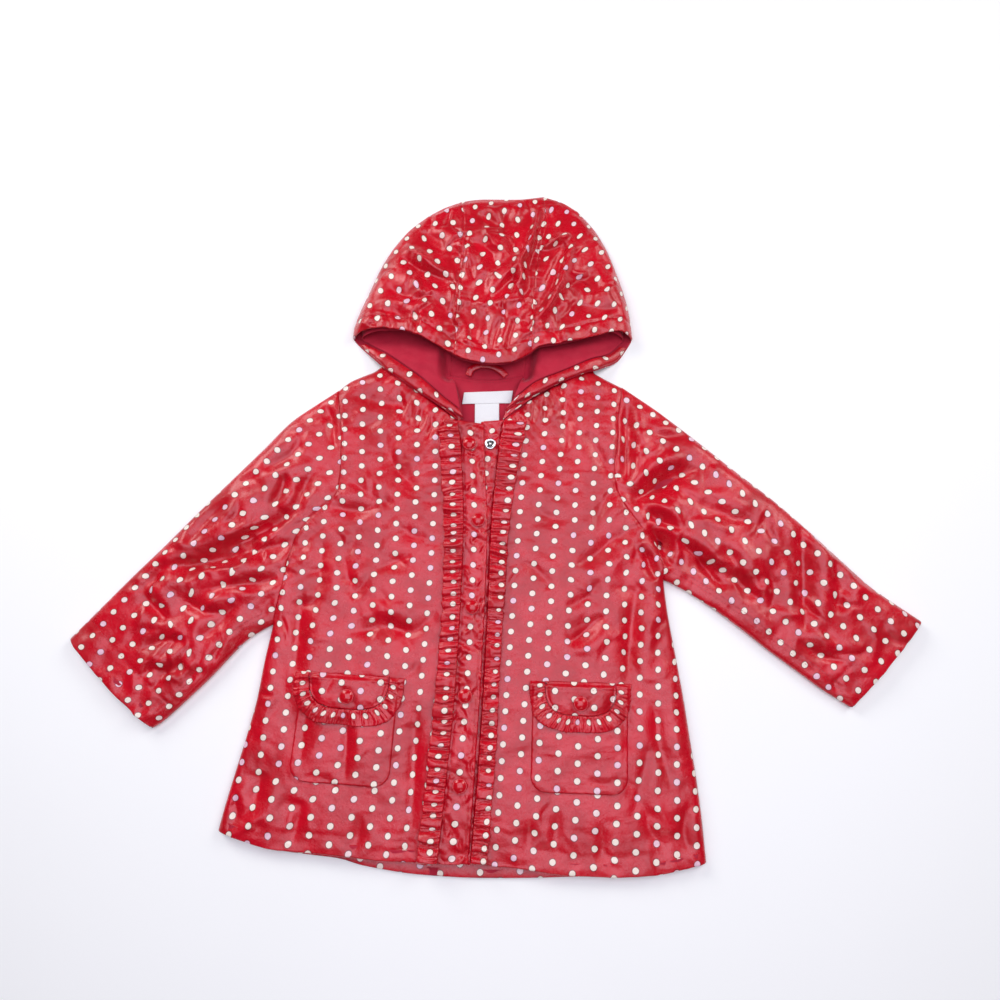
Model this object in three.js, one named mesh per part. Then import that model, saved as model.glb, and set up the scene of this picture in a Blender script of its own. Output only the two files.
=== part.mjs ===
// Toddler raincoat, laid flat on its back with the hood open, seen from above.
// +Z is up from the surface, +Y runs from the hem to the hood, +X to the right of the picture.
// "right" and "left" in the names are the wearer's: the wearer's right is at -X.
import * as THREE from "three";
import { mergeVertices } from "three/addons/utils/BufferGeometryUtils.js";

// ---------- driving sizes, millimetres ----------
const CLOTH = 1.4; // coated shell with its lining: fronts, back, sleeves
const HOOD_CLOTH = 1.2; // hood shell
const THIN = 1.0; // lining, facings, ruffles, labels
const SEAM = 0.35; // gap kept at every seam
const REST = 0.45; // gap under a piece that lies on a panel
const BODY_H = 11.0; // top of the fronts above the surface
const EDGE_H = 3.1 + SEAM; // top of a front where it meets the back at its side
const SLEEVE_H = 17.0; // top of a sleeve halfway down
const CUFF_H = 13.0; // top of a sleeve at the cuff
const FOLD_Z = 4.5; // height of the outermost line of a fold
const BACK_INSET = 1.2; // the back stops this far inside the side seams and armholes
const EDGE_W = 15; // width over which a front rounds down to its side
const FOLD_UNDER_W = 5; // width over which a fold rounds under
const BAND_W = 23; // placket band width
const BAND_LIFT = 1.9; // the overlap band lies this much above the underlap band
const WING_Z = 12.6; // underside of the hood shell where its sides lie over the shoulders
const TURN_Z = 11.8; // height of the turn where a wing folds over at the neck opening
const STAND_Z = 11.0; // top of the hood's stand under a wing
const SLEEVE_GAP = 0.7; // a sleeve keeps this far from the front's armhole
const STAND_GAP = 1.2; // the stand keeps this far from the neck edge of a front
const LINING_INSET = 9; // the lining's fold lies this far inside the shell's
const LINING_GAP = 0.8; // gap between shell and lining of the hood
const LOOP_W = 8; // hanging loop width
const CAP_R = 6.8; // snap cap radius
const CAP_H = 3.2; // snap cap height
const SOCKET_R = 5.6; // open metal snap radius
const SHIFT = { x: 3.0, y: -157.2 }; // puts the middle of the laid coat on the origin

// ---------- curve tables: one row per measured point, in the laid plane ----------
const FRONT_RIGHT = {
  hem: [{ x: -55, y: -166 }, { x: -98, y: -165 }, { x: -146, y: -160 }, { x: -209, y: -154 }, { x: -252, y: -140 }],
  centre: [{ x: -55, y: -166 }, { x: -48, y: -95 }, { x: -41, y: -18 }, { x: -37, y: 65 }, { x: -35, y: 141 }, { x: -38, y: 211 }, { x: -42, y: 241 }],
  side: [{ x: -252, y: -140 }, { x: -246, y: -113 }, { x: -233, y: -62 }, { x: -225, y: -27 }, { x: -220, y: 9 }, { x: -214, y: 42 }],
  armhole: [{ x: -214, y: 42 }, { x: -207, y: 74 }, { x: -202, y: 103 }, { x: -197, y: 123 }, { x: -185, y: 142 }, { x: -171, y: 155 }, { x: -159, y: 167 }, { x: -156, y: 185 }, { x: -156, y: 214 }, { x: -158, y: 245 }, { x: -162, y: 275 }],
  shoulder: [{ x: -162, y: 275 }, { x: -150, y: 285 }, { x: -127, y: 295 }, { x: -112, y: 300 }],
  neck: [{ x: -112, y: 300 }, { x: -88, y: 279 }, { x: -66, y: 260 }, { x: -42, y: 241 }],
};
const FRONT_LEFT = {
  hem: [{ x: -26, y: -167 }, { x: 18, y: -171 }, { x: 53, y: -176 }, { x: 100, y: -178 }, { x: 141, y: -176 }, { x: 183, y: -167 }],
  centre: [{ x: -26, y: -167 }, { x: -20, y: -95 }, { x: -15, y: -18 }, { x: -11, y: 65 }, { x: -8, y: 141 }, { x: -1, y: 211 }, { x: 4, y: 242 }],
  side: [{ x: 183, y: -167 }, { x: 181, y: -130 }, { x: 178, y: -96 }, { x: 174, y: -62 }, { x: 170, y: -27 }, { x: 165, y: 9 }, { x: 159, y: 50 }, { x: 156, y: 84 }],
  armhole: [{ x: 156, y: 84 }, { x: 154, y: 103 }, { x: 149, y: 122 }, { x: 136, y: 135 }, { x: 121, y: 156 }, { x: 113, y: 174 }, { x: 112, y: 195 }, { x: 116, y: 222 }, { x: 118, y: 250 }, { x: 123, y: 278 }],
  shoulder: [{ x: 123, y: 278 }, { x: 108, y: 286 }, { x: 96, y: 293 }, { x: 88, y: 297 }],
  neck: [{ x: 88, y: 297 }, { x: 60, y: 280 }, { x: 35, y: 266 }, { x: 15, y: 251 }, { x: 4, y: 242 }],
};
const SLEEVE_RIGHT = {
  upper: [{ x: -162, y: 275 }, { x: -206, y: 243 }, { x: -233, y: 213 }, { x: -262, y: 182 }, { x: -290, y: 152 }, { x: -320, y: 119 }, { x: -353, y: 84 }, { x: -403, y: 29 }],
  lower: [{ x: -214, y: 42 }, { x: -238, y: 27 }, { x: -271, y: -9 }, { x: -306, y: -43 }, { x: -319, y: -52 }],
  cuff: [{ x: -403, y: 29 }, { x: -364, y: -12 }, { x: -319, y: -52 }],
};
const SLEEVE_LEFT = {
  upper: [{ x: 123, y: 278 }, { x: 157, y: 253 }, { x: 194, y: 222 }, { x: 229, y: 192 }, { x: 265, y: 162 }, { x: 297, y: 132 }, { x: 326, y: 103 }, { x: 354, y: 76 }, { x: 397, y: 45 }],
  lower: [{ x: 156, y: 84 }, { x: 176, y: 74 }, { x: 203, y: 56 }, { x: 228, y: 37 }, { x: 250, y: 19 }, { x: 275, y: 0 }, { x: 299, y: -18 }, { x: 324, y: -34 }],
  cuff: [{ x: 397, y: 45 }, { x: 362, y: 5 }, { x: 324, y: -34 }],
};
const BACK_HEM = [{ x: -250, y: -138 }, { x: -209, y: -152 }, { x: -146, y: -160 }, { x: -123, y: -166 }, { x: -88, y: -172 }, { x: -60, y: -175 }, { x: -18, y: -177 }, { x: 22, y: -177 }, { x: 60, y: -176 }, { x: 100, y: -176 }, { x: 141, y: -175 }, { x: 181, y: -166 }];
const BACK_NECK = [{ x: -112, y: 300 }, { x: -80, y: 292 }, { x: -50, y: 287 }, { x: -14, y: 285 }, { x: 22, y: 287 }, { x: 56, y: 291 }, { x: 88, y: 297 }];
const OVERLAP_EDGE = [{ x: -28, y: -166 }, { x: -23, y: -95 }, { x: -18, y: -18 }, { x: -14, y: 65 }, { x: -12, y: 141 }, { x: -14, y: 181 }, { x: -16, y: 237 }];
const RUFFLE_RIGHT_OUT = [{ x: -74, y: -166 }, { x: -66, y: -95 }, { x: -59, y: -18 }, { x: -54, y: 65 }, { x: -54, y: 141 }, { x: -57, y: 181 }, { x: -60, y: 240 }];
const RUFFLE_LEFT_OUT = [{ x: -11, y: -167 }, { x: -5, y: -95 }, { x: -1, y: -18 }, { x: 4, y: 65 }, { x: 10, y: 141 }, { x: 16, y: 181 }, { x: 27, y: 240 }];
const HOOD = {
  outlineRight: [{ x: -150, y: 331 }, { x: -149, y: 342 }, { x: -143, y: 361 }, { x: -134, y: 383 }, { x: -125, y: 406 }, { x: -113, y: 429 }, { x: -96, y: 452 }, { x: -75, y: 470 }],
  crownRight: [{ x: -75, y: 470 }, { x: -58, y: 480 }, { x: -41, y: 487 }],
  crownMid: [{ x: -41, y: 487 }, { x: -21, y: 490 }, { x: 21, y: 490 }, { x: 46, y: 493 }],
  crownLeft: [{ x: 82, y: 475 }, { x: 66, y: 486 }, { x: 46, y: 493 }],
  outlineLeft: [{ x: 135, y: 330 }, { x: 134, y: 345 }, { x: 132, y: 361 }, { x: 127, y: 383 }, { x: 120, y: 406 }, { x: 112, y: 429 }, { x: 100, y: 452 }, { x: 82, y: 475 }],
  brimRight: [{ x: -45, y: 306 }, { x: -55, y: 312 }, { x: -79, y: 326 }, { x: -105, y: 334 }, { x: -130, y: 335 }, { x: -150, y: 331 }],
  brimMid: [{ x: -45, y: 306 }, { x: -34, y: 301 }, { x: -15, y: 297 }, { x: 0, y: 297 }, { x: 16, y: 300 }, { x: 31, y: 309 }],
  brimLeft: [{ x: 31, y: 309 }, { x: 40, y: 315 }, { x: 60, y: 318 }, { x: 82, y: 323 }, { x: 103, y: 330 }, { x: 120, y: 334 }, { x: 135, y: 330 }],
  seamRight: [{ x: -45, y: 306 }, { x: -43, y: 363 }, { x: -41, y: 407 }, { x: -37, y: 456 }, { x: -41, y: 487 }],
  seamLeft: [{ x: 31, y: 309 }, { x: 33, y: 353 }, { x: 35, y: 387 }, { x: 41, y: 425 }, { x: 49, y: 458 }, { x: 46, y: 493 }],
  backSeamRight: [{ x: -50, y: 291.5 }, { x: -48, y: 340 }, { x: -44, y: 400 }, { x: -41, y: 487 }],
  backSeamLeft: [{ x: 24, y: 291.5 }, { x: 30, y: 340 }, { x: 38, y: 400 }, { x: 46, y: 493 }],
  neck: [{ x: -50, y: 291.5 }, { x: -31, y: 288.2 }, { x: -13, y: 287.2 }, { x: 5, y: 288.2 }, { x: 24, y: 291.5 }],
  rollRight: [{ x: -37, y: 243 }, { x: -40, y: 260 }, { x: -44, y: 276 }, { x: -50, y: 291.5 }],
  rollLeft: [{ x: 6, y: 251 }, { x: 14, y: 263 }, { x: 19, y: 277 }, { x: 24, y: 291.5 }],
  wingRight: [{ x: -37, y: 243 }, { x: -59, y: 256 }, { x: -79, y: 269 }, { x: -100, y: 284 }, { x: -117, y: 297 }, { x: -150, y: 331 }],
  wingLeft: [{ x: 6, y: 251 }, { x: 20, y: 261 }, { x: 39, y: 270 }, { x: 59, y: 280 }, { x: 83, y: 290 }, { x: 100, y: 296 }, { x: 120, y: 308 }, { x: 135, y: 330 }],
  facingRight: [{ x: -39.5, y: 252 }, { x: -59, y: 268 }, { x: -79, y: 286 }, { x: -100, y: 301 }, { x: -115, y: 312 }, { x: -143, y: 330.5 }],
  facingLeft: [{ x: 14, y: 264 }, { x: 35, y: 281 }, { x: 59, y: 291 }, { x: 90, y: 305 }, { x: 111, y: 314 }, { x: 128, y: 330 }],
};
// Heights of the hood's upper layer along its middle, and how it fades towards the sides.
const HOOD_RISE = [{ y: 295, h: 24 }, { y: 330, h: 25 }, { y: 370, h: 23 }, { y: 410, h: 20 }, { y: 450, h: 16 }, { y: 480, h: 12 }, { y: 495, h: 10 }];
// The largest folds: a soft trough from a to b, w wide and d deep at its middle.
const FOLDS = [
  { ax: -196, ay: 118, bx: -110, by: 108, w: 13, d: 2.2 }, // across the right chest from the armpit
  { ax: -196, ay: 150, bx: -290, by: 96, w: 12, d: 3.6 }, // right sleeve, under the cap
  { ax: -210, ay: 128, bx: -330, by: 30, w: 11, d: 3.0 }, // right sleeve, long lower trough
  { ax: -170, ay: 60, bx: -96, by: 34, w: 12, d: 2.4 }, // above the right pocket
  { ax: -208, ay: 20, bx: -186, by: -60, w: 9, d: 2.2 }, // right side, upright
  { ax: 120, ay: 168, bx: 200, by: 206, w: 11, d: 3.2 }, // left sleeve, diagonal from the armhole
  { ax: 128, ay: 268, bx: 124, by: 176, w: 8, d: 2.6 }, // left armhole, upright
  { ax: 150, ay: 128, bx: 232, by: 76, w: 12, d: 3.4 }, // left sleeve, under the arm
  { ax: 270, ay: 120, bx: 262, by: 30, w: 12, d: 3.0 }, // left elbow, across the sleeve
  { ax: 118, ay: 100, bx: 128, by: 0, w: 9, d: 2.2 }, // left side, upright
  { ax: 40, ay: 20, bx: 116, by: 78, w: 11, d: 2.0 }, // above the left pocket
  { ax: -70, ay: 430, bx: -40, by: 330, w: 13, d: 3.2 }, // hood, right of the crown
  { ax: 10, ay: 440, bx: 40, by: 340, w: 13, d: 3.4 }, // hood, left of the crown
  { ax: 96, ay: 420, bx: 58, by: 340, w: 12, d: 3.0 }, // hood, left side
];
const SNAP_CAPS = [{ x: -30, y: 217 }, { x: -21, y: 141 }, { x: -26, y: 58 }, { x: -32, y: -23 }, { x: -36, y: -101 }];
const SOCKET = { x: -9.5, y: 217 };
// Patch pockets and their flaps, in a frame at the top middle of each: x across, y up.
const POCKETS = [
  { side: "right", x: -138, y: -4, lean: -4, w: 90, h: 96, flapW: 74, flapH: 31, ruffle: 14 },
  { side: "left", x: 74, y: -11, lean: -2, w: 87, h: 97, flapW: 66, flapH: 30, ruffle: 14 },
];
const LABELS = {
  wide: { west: [{ x: -38, y: 261 }, { x: -36, y: 273 }], east: [{ x: 11, y: 262 }, { x: 13, y: 275 }] },
  care: { west: [{ x: -25, y: 238 }, { x: -25, y: 260.6 }], east: [{ x: -1, y: 238 }, { x: -1, y: 261 }] },
};
const HANGING_LOOP = [{ x: -32, y: 290.5 }, { x: -29, y: 297 }, { x: -20, y: 301 }, { x: -8, y: 300 }, { x: 1, y: 295 }, { x: 6, y: 290 }];
const RUFFLE_PLEATS = 30;
const FLAP_PLEATS = 15;

// ---------- curves and patches ----------
const lerp = (a, b, t) => a + (b - a) * t;
const mix = (p, q, t) => [lerp(p[0], q[0], t), lerp(p[1], q[1], t)];
const xy = (rows) => rows.map((r) => [r.x, r.y]);

// A curve through the rows of one or more tables, run by its length from 0 to 1.
function curve(...tables) {
  const pts = [];
  for (const t of tables) for (const p of xy(t)) if (!pts.length || Math.hypot(p[0] - pts.at(-1)[0], p[1] - pts.at(-1)[1]) > 1e-6) pts.push(p);
  const dense = [];
  for (let i = 0; i < pts.length - 1; i++) {
    const p0 = pts[Math.max(i - 1, 0)], p1 = pts[i], p2 = pts[i + 1], p3 = pts[Math.min(i + 2, pts.length - 1)];
    for (let k = 0; k < 8; k++) {
      const t = k / 8, a = 0.35;
      dense.push([0, 1].map((c) => {
        const m1 = a * (p2[c] - p0[c]), m2 = a * (p3[c] - p1[c]);
        return (2 * t ** 3 - 3 * t * t + 1) * p1[c] + (t ** 3 - 2 * t * t + t) * m1 + (-2 * t ** 3 + 3 * t * t) * p2[c] + (t ** 3 - t * t) * m2;
      }));
    }
  }
  dense.push(pts.at(-1));
  const run = [0];
  for (let i = 1; i < dense.length; i++) run.push(run[i - 1] + Math.hypot(dense[i][0] - dense[i - 1][0], dense[i][1] - dense[i - 1][1]));
  const at = (t) => {
    const s = Math.min(Math.max(t, 0), 1) * run.at(-1);
    let i = 1;
    while (i < run.length - 1 && run[i] < s) i++;
    return mix(dense[i - 1], dense[i], (s - run[i - 1]) / (run[i] - run[i - 1] || 1));
  };
  at.pts = dense;
  return at;
}
const back2front = (c) => Object.assign((t) => c(1 - t), { pts: [...c.pts].reverse() });

// Moves a curve sideways, to its left as it runs.
function aside(c, by) {
  const at = (t) => {
    const a = c(Math.max(t - 0.01, 0)), b = c(Math.min(t + 0.01, 1)), l = Math.hypot(b[0] - a[0], b[1] - a[1]) || 1, p = c(t);
    return [p[0] - (by * (b[1] - a[1])) / l, p[1] + (by * (b[0] - a[0])) / l];
  };
  return Object.assign(at, { pts: Array.from({ length: 41 }, (_, i) => at(i / 40)) });
}

// Distance from a point to a curve's polyline.
function distance(p, c) {
  let best = 1e9;
  for (let i = 1; i < c.pts.length; i++) {
    const a = c.pts[i - 1], b = c.pts[i], dx = b[0] - a[0], dy = b[1] - a[1];
    const t = Math.min(Math.max(((p[0] - a[0]) * dx + (p[1] - a[1]) * dy) / (dx * dx + dy * dy || 1), 0), 1);
    best = Math.min(best, Math.hypot(p[0] - a[0] - t * dx, p[1] - a[1] - t * dy));
  }
  return best;
}

const even = (n) => Array.from({ length: n + 1 }, (_, i) => i / n);

// A grid of points filling the space between four curves: south and north run with u, west and east run with v.
function patch(south, north, west, east, us, vs) {
  const sw = south(0), se = south(1), nw = north(0), ne = north(1);
  return vs.map((v) => us.map((u) => {
    const s = south(u), n = north(u), w = west(v), e = east(v);
    return [0, 1].map((c) => lerp(s[c], n[c], v) + lerp(w[c], e[c], u) - lerp(lerp(sw[c], se[c], u), lerp(nw[c], ne[c], u), v));
  }));
}

// ---------- heights ----------
const rise = (d, w) => Math.sqrt(Math.max(0, 1 - (1 - Math.min(d / w, 1)) ** 2));
const smooth = (t) => { const c = Math.min(Math.max(t, 0), 1); return c * c * (3 - 2 * c); };
function folds(x, y) {
  let z = 0;
  for (const f of FOLDS) {
    const dx = f.bx - f.ax, dy = f.by - f.ay, t = ((x - f.ax) * dx + (y - f.ay) * dy) / (dx * dx + dy * dy);
    const c = Math.min(Math.max(t, 0), 1), off = Math.hypot(x - f.ax - c * dx, y - f.ay - c * dy) / f.w;
    z -= f.d * Math.exp(-off * off) * (t > 0 && t < 1 ? Math.sin(Math.PI * (0.15 + 0.7 * t)) : 0.45);
  }
  return z;
}
const table = (rows, key, value, at) => {
  if (at <= rows[0][key]) return rows[0][value];
  for (let i = 1; i < rows.length; i++) if (at <= rows[i][key]) return lerp(rows[i - 1][value], rows[i][value], (at - rows[i - 1][key]) / (rows[i][key] - rows[i - 1][key]));
  return rows.at(-1)[value];
};

// ---------- solids ----------
// Joins grids of points into one sheet with shared edges, then gives it a wall on its inner side.
function wallOf(grids, thickness) {
  const verts = [], index = new Map(), faces = [];
  const id = (p) => {
    const k = p.map((c) => Math.round(c * 100)).join();
    if (!index.has(k)) { index.set(k, verts.length); verts.push(p); }
    return index.get(k);
  };
  for (const { points, flip } of grids)
    for (let j = 0; j < points.length - 1; j++)
      for (let i = 0; i < points[j].length - 1; i++) {
        const q = [points[j][i], points[j][i + 1], points[j + 1][i + 1], points[j + 1][i]].map(id);
        const d02 = gap(verts[q[0]], verts[q[2]]), d13 = gap(verts[q[1]], verts[q[3]]);
        const two = d02 <= d13 ? [[q[0], q[1], q[2]], [q[0], q[2], q[3]]] : [[q[0], q[1], q[3]], [q[1], q[2], q[3]]];
        for (const t of two) if (new Set(t).size === 3) faces.push(flip ? [t[0], t[2], t[1]] : t);
      }
  const v3 = (i) => new THREE.Vector3(...verts[i]);
  const first = grids[0].points, c = new THREE.Vector3(...first[0][0]);
  const facing = new THREE.Vector3(...first[0].at(-1)).sub(c).cross(new THREE.Vector3(...first.at(-1)[0]).sub(c)).z;
  if (facing < 0) for (const f of faces) f.reverse();
  const normals = verts.map(() => new THREE.Vector3());
  const open = new Map();
  for (const f of faces) {
    const n = v3(f[1]).sub(v3(f[0])).cross(v3(f[2]).sub(v3(f[0])));
    for (const i of f) normals[i].add(n);
    for (const [a, b] of [[f[0], f[1]], [f[1], f[2]], [f[2], f[0]]]) open.has(b + "_" + a) ? open.delete(b + "_" + a) : open.set(a + "_" + b, [a, b]);
  }
  const m = verts.length, inner = verts.map((p, i) => { const n = normals[i].normalize(); return [p[0] - n.x * thickness, p[1] - n.y * thickness, p[2] - n.z * thickness]; });
  const all = [...faces, ...faces.map((f) => [f[2] + m, f[1] + m, f[0] + m])];
  for (const [a, b] of open.values()) all.push([b, a, a + m], [b, a + m, b + m]);
  return geometry([...verts, ...inner], all);
}
const gap = (p, q) => Math.hypot(p[0] - q[0], p[1] - q[1], p[2] - q[2]);

// A slab: the grid's points are its top, and its underside is straight below.
function slabOf(points, thickness) {
  const nv = points.length, nu = points[0].length, verts = [...points.flat(), ...points.flat().map((p) => [p[0], p[1], p[2] - thickness])], faces = [], m = nv * nu;
  const at = (j, i) => j * nu + i;
  for (let j = 0; j < nv - 1; j++)
    for (let i = 0; i < nu - 1; i++) {
      const a = at(j, i), b = at(j, i + 1), c = at(j + 1, i + 1), d = at(j + 1, i);
      faces.push([a, b, c], [a, c, d], [a + m, c + m, b + m], [a + m, d + m, c + m]);
    }
  const rim = [];
  for (let i = 0; i < nu - 1; i++) rim.push([at(0, i), at(0, i + 1)]);
  for (let j = 0; j < nv - 1; j++) rim.push([at(j, nu - 1), at(j + 1, nu - 1)]);
  for (let i = nu - 1; i > 0; i--) rim.push([at(nv - 1, i), at(nv - 1, i - 1)]);
  for (let j = nv - 1; j > 0; j--) rim.push([at(j, 0), at(j - 1, 0)]);
  for (const [a, b] of rim) faces.push([b, a, a + m], [b, a + m, b + m]);
  return geometry(verts, faces);
}

// Builds the geometry and turns it the right way out.
function geometry(verts, faces) {
  let six = 0;
  for (const [a, b, c] of faces) six += new THREE.Vector3(...verts[a]).dot(new THREE.Vector3(...verts[b]).cross(new THREE.Vector3(...verts[c])));
  const out = six < 0 ? faces.map(([a, b, c]) => [a, c, b]) : faces;
  const g = new THREE.BufferGeometry();
  g.setAttribute("position", new THREE.BufferAttribute(new Float32Array(verts.flat()), 3));
  g.setIndex(out.flat());
  return g;
}

// The highest point of some geometries under (x, y), or null.
function sampler(...geometries) {
  const tris = geometries.flatMap((g) => {
    const p = g.attributes.position, ix = g.index.array, list = [];
    for (let i = 0; i < ix.length; i += 3) list.push([0, 1, 2].map((k) => [p.getX(ix[i + k]), p.getY(ix[i + k]), p.getZ(ix[i + k])]));
    return list;
  });
  return (x, y) => {
    let top = null;
    for (const [a, b, c] of tris) {
      if (x < Math.min(a[0], b[0], c[0]) || x > Math.max(a[0], b[0], c[0]) || y < Math.min(a[1], b[1], c[1]) || y > Math.max(a[1], b[1], c[1])) continue;
      const det = (b[1] - c[1]) * (a[0] - c[0]) + (c[0] - b[0]) * (a[1] - c[1]);
      if (Math.abs(det) < 1e-9) continue;
      const s = ((b[1] - c[1]) * (x - c[0]) + (c[0] - b[0]) * (y - c[1])) / det, t = ((c[1] - a[1]) * (x - c[0]) + (a[0] - c[0]) * (y - c[1])) / det;
      if (s < -1e-6 || t < -1e-6 || s + t > 1 + 1e-6) continue;
      const z = s * a[2] + t * b[2] + (1 - s - t) * c[2];
      if (top === null || z > top) top = z;
    }
    return top;
  };
}
// The same, but the highest within reach of the point, so that a facet laid on it stays clear.
const lying = (sample, reach, otherwise) => (x, y) => {
  let top = null;
  for (const [dx, dy] of [[0, 0], [1, 0], [-1, 0], [0, 1], [0, -1], [0.7, 0.7], [-0.7, 0.7], [0.7, -0.7], [-0.7, -0.7]]) {
    const z = sample(x + dx * reach, y + dy * reach);
    if (z !== null && (top === null || z > top)) top = z;
  }
  return top === null ? otherwise : top;
};

// ---------- the coat ----------
const coat = new THREE.Group();
const finish = {
  shell: { color: 0xc4203a, roughness: 0.38 }, lining: { color: 0xa81f3c, roughness: 0.8 }, label: { color: 0xf2f0ee, roughness: 0.75 },
  snap: { color: 0xb01526, roughness: 0.35 }, metal: { color: 0xd8d6d4, roughness: 0.3, metalness: 0.9 },
};
const made = {};
function add(name, geom, kind) {
  const mesh = new THREE.Mesh(geom, new THREE.MeshStandardMaterial({ metalness: 0, ...finish[kind] }));
  mesh.name = name;
  made[name] = geom;
  coat.add(mesh);
}

// Fronts. Each is one sheet from the placket seam to the side seam and armhole, rounded down at its side and shoulder.
const ACROSS = [0, 0.07, 0.16, 0.26, 0.37, 0.48, 0.59, 0.7, 0.8, 0.885, 0.945, 0.98, 0.994, 1];
const ARM = [0, 0.025, 0.08, 0.17, 0.27, 0.37, 0.48, 0.59, 0.7, 0.81, 0.91, 0.97, 1];
const SIDE_PART = 0.43; // share of the rows that lie beside the side seam; the rest lie beside the armhole
const UP = [0, 0.05, 0.1, 0.155, 0.21, 0.265, 0.32, 0.38, ...ARM.map((a) => SIDE_PART + (1 - SIDE_PART) * a)];
function sideAndArmhole(rows) {
  const side = curve(rows.side), arm = curve(rows.armhole);
  return Object.assign((v) => (v < SIDE_PART ? side(v / SIDE_PART) : arm((v - SIDE_PART) / (1 - SIDE_PART))), { pts: [...side.pts, ...arm.pts] });
}
function frontHeight(rows, lift) {
  const closed = [curve(rows.side), curve(rows.shoulder)], centre = curve(rows.centre);
  return ([x, y]) => {
    const d = Math.min(...closed.map((c) => distance([x, y], c)));
    const top = BODY_H + lift * (1 - smooth((distance([x, y], centre) - 4) / 22)) - 1.5 * smooth((-120 - y) / 45) + folds(x, y) * smooth(d / 12);
    return EDGE_H + (top - EDGE_H) * rise(d, EDGE_W);
  };
}
function front(rows, lift, outward) {
  const height = frontHeight(rows, lift);
  const west = aside(curve(rows.centre), (-outward * SEAM) / 2), east = sideAndArmhole(rows);
  const north = back2front(curve(rows.shoulder, rows.neck)), south = curve(rows.hem);
  const grid = patch(south, north, west, east, ACROSS, UP);
  return wallOf([{ points: grid.map((r) => r.map((p) => [...p, height(p)])) }], CLOTH);
}
add("front_right", front(FRONT_RIGHT, BAND_LIFT, -1), "shell");
add("front_left", front(FRONT_LEFT, 0, 1), "shell");

// Back: one flat sheet that the coat rests on.
function backPanel() {
  const south = curve(BACK_HEM);
  const north = curve(FRONT_RIGHT.shoulder, BACK_NECK, [...FRONT_LEFT.shoulder].reverse());
  const west = aside(sideAndArmhole(FRONT_RIGHT), -BACK_INSET), east = aside(sideAndArmhole(FRONT_LEFT), BACK_INSET);
  const grid = patch(south, north, west, east, even(6), UP.filter((v, i) => i % 2 === 0 || v > SIDE_PART));
  return slabOf(grid.map((r) => r.map((p) => [...p, CLOTH])), CLOTH);
}
add("back", backPanel(), "shell");

// Sleeves: closed tubes, flat underneath, from the armhole to the open cuff.
const ROUND = [...ARM].reverse().map((a) => 1 - a);
const ALONG = [0, 0.09, 0.2, 0.32, 0.44, 0.57, 0.7, 0.85, 1];
function sleeve(rows, armhole, outward) {
  const scye = aside(back2front(curve(armhole)), outward * SLEEVE_GAP), end = (t) => ({ x: scye(t)[0], y: scye(t)[1] });
  const upper = curve([end(0), ...rows.upper.slice(1)]), lower = curve([end(1), ...rows.lower.slice(1)]), cuff = curve(rows.cuff);
  const grid = patch(scye, cuff, upper, lower, ROUND, ALONG);
  const tops = grid.map((r, j) => r.map((p, i) => {
    if (i === 0 || i === r.length - 1) return [...p, FOLD_Z];
    const d = Math.min(distance(p, upper), distance(p, lower)), t = ALONG[j];
    const h = t < 0.5 ? lerp(BODY_H, SLEEVE_H, smooth(t / 0.35)) : lerp(SLEEVE_H, CUFF_H, smooth((t - 0.5) / 0.5));
    return [...p, FOLD_Z + (h + folds(...p) * smooth(d / 14) - FOLD_Z) * rise(d, 16)];
  }));
  const unders = grid.map((r) => r.map((p, i) => {
    if (i === 0 || i === r.length - 1) return [...p, FOLD_Z];
    return [...p, FOLD_Z * (1 - rise(Math.min(distance(p, upper), distance(p, lower)), FOLD_UNDER_W))];
  }));
  return wallOf([{ points: tops, flip: false }, { points: unders, flip: true }], CLOTH);
}
add("sleeve_right", sleeve(SLEEVE_RIGHT, FRONT_RIGHT.armhole, -1), "shell");
add("sleeve_left", sleeve(SLEEVE_LEFT, FRONT_LEFT.armhole, 1), "shell");

// Placket bands: the underlap on the wearer's left front, the overlap above it on the right front.
const bandTop = (lift) => (y) => BODY_H + lift - 1.5 * smooth((-120 - y) / 45);
function strip(west, east, top, thickness, across, along) {
  return slabOf(patch((t) => mix(west(0), east(0), t), (t) => mix(west(1), east(1), t), west, east, across, along).map((r) => r.map((p) => [...p, top(p[1], p[0])])), thickness);
}
{
  const seam = aside(curve(FRONT_LEFT.centre), SEAM / 2), free = aside(curve(FRONT_LEFT.centre), BAND_W);
  add("placket_left", strip(free, seam, bandTop(-0.3), CLOTH, [0, 1], UP), "shell");
  const overSeam = aside(curve(FRONT_RIGHT.centre), -SEAM / 2), edge = curve(OVERLAP_EDGE);
  add("placket_right", strip(overSeam, edge, bandTop(BAND_LIFT), CLOTH, [0, 1], UP), "shell");
}

// Ruffles: gathered strips held in the placket seams, their pleats opening towards the free edge.
function ruffle(held, free, on, pleats, depth, thickness) {
  const rows = even(pleats * 2);
  const grid = rows.map((v, j) => [0, 1].map((u) => {
    const p = mix(held(v), free(v), u), up = j % 2 ? 1 : 0.12;
    return [...p, on(...p) + REST + thickness + up * depth * (0.25 + 0.75 * u)];
  }));
  return slabOf(grid, thickness);
}
{
  const onRight = lying(sampler(made.front_right, made.placket_right), 3, BODY_H + BAND_LIFT), onLeft = lying(sampler(made.front_left), 3, BODY_H);
  const heldR = aside(curve(FRONT_RIGHT.centre), 1.0), heldL = aside(curve(FRONT_LEFT.centre), -1.2);
  add("ruffle_right", ruffle(heldR, curve(RUFFLE_RIGHT_OUT), onRight, RUFFLE_PLEATS, 2.2, THIN), "shell");
  add("ruffle_left", ruffle(heldL, curve(RUFFLE_LEFT_OUT), onLeft, RUFFLE_PLEATS, 2.2, THIN), "shell");
}

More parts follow.
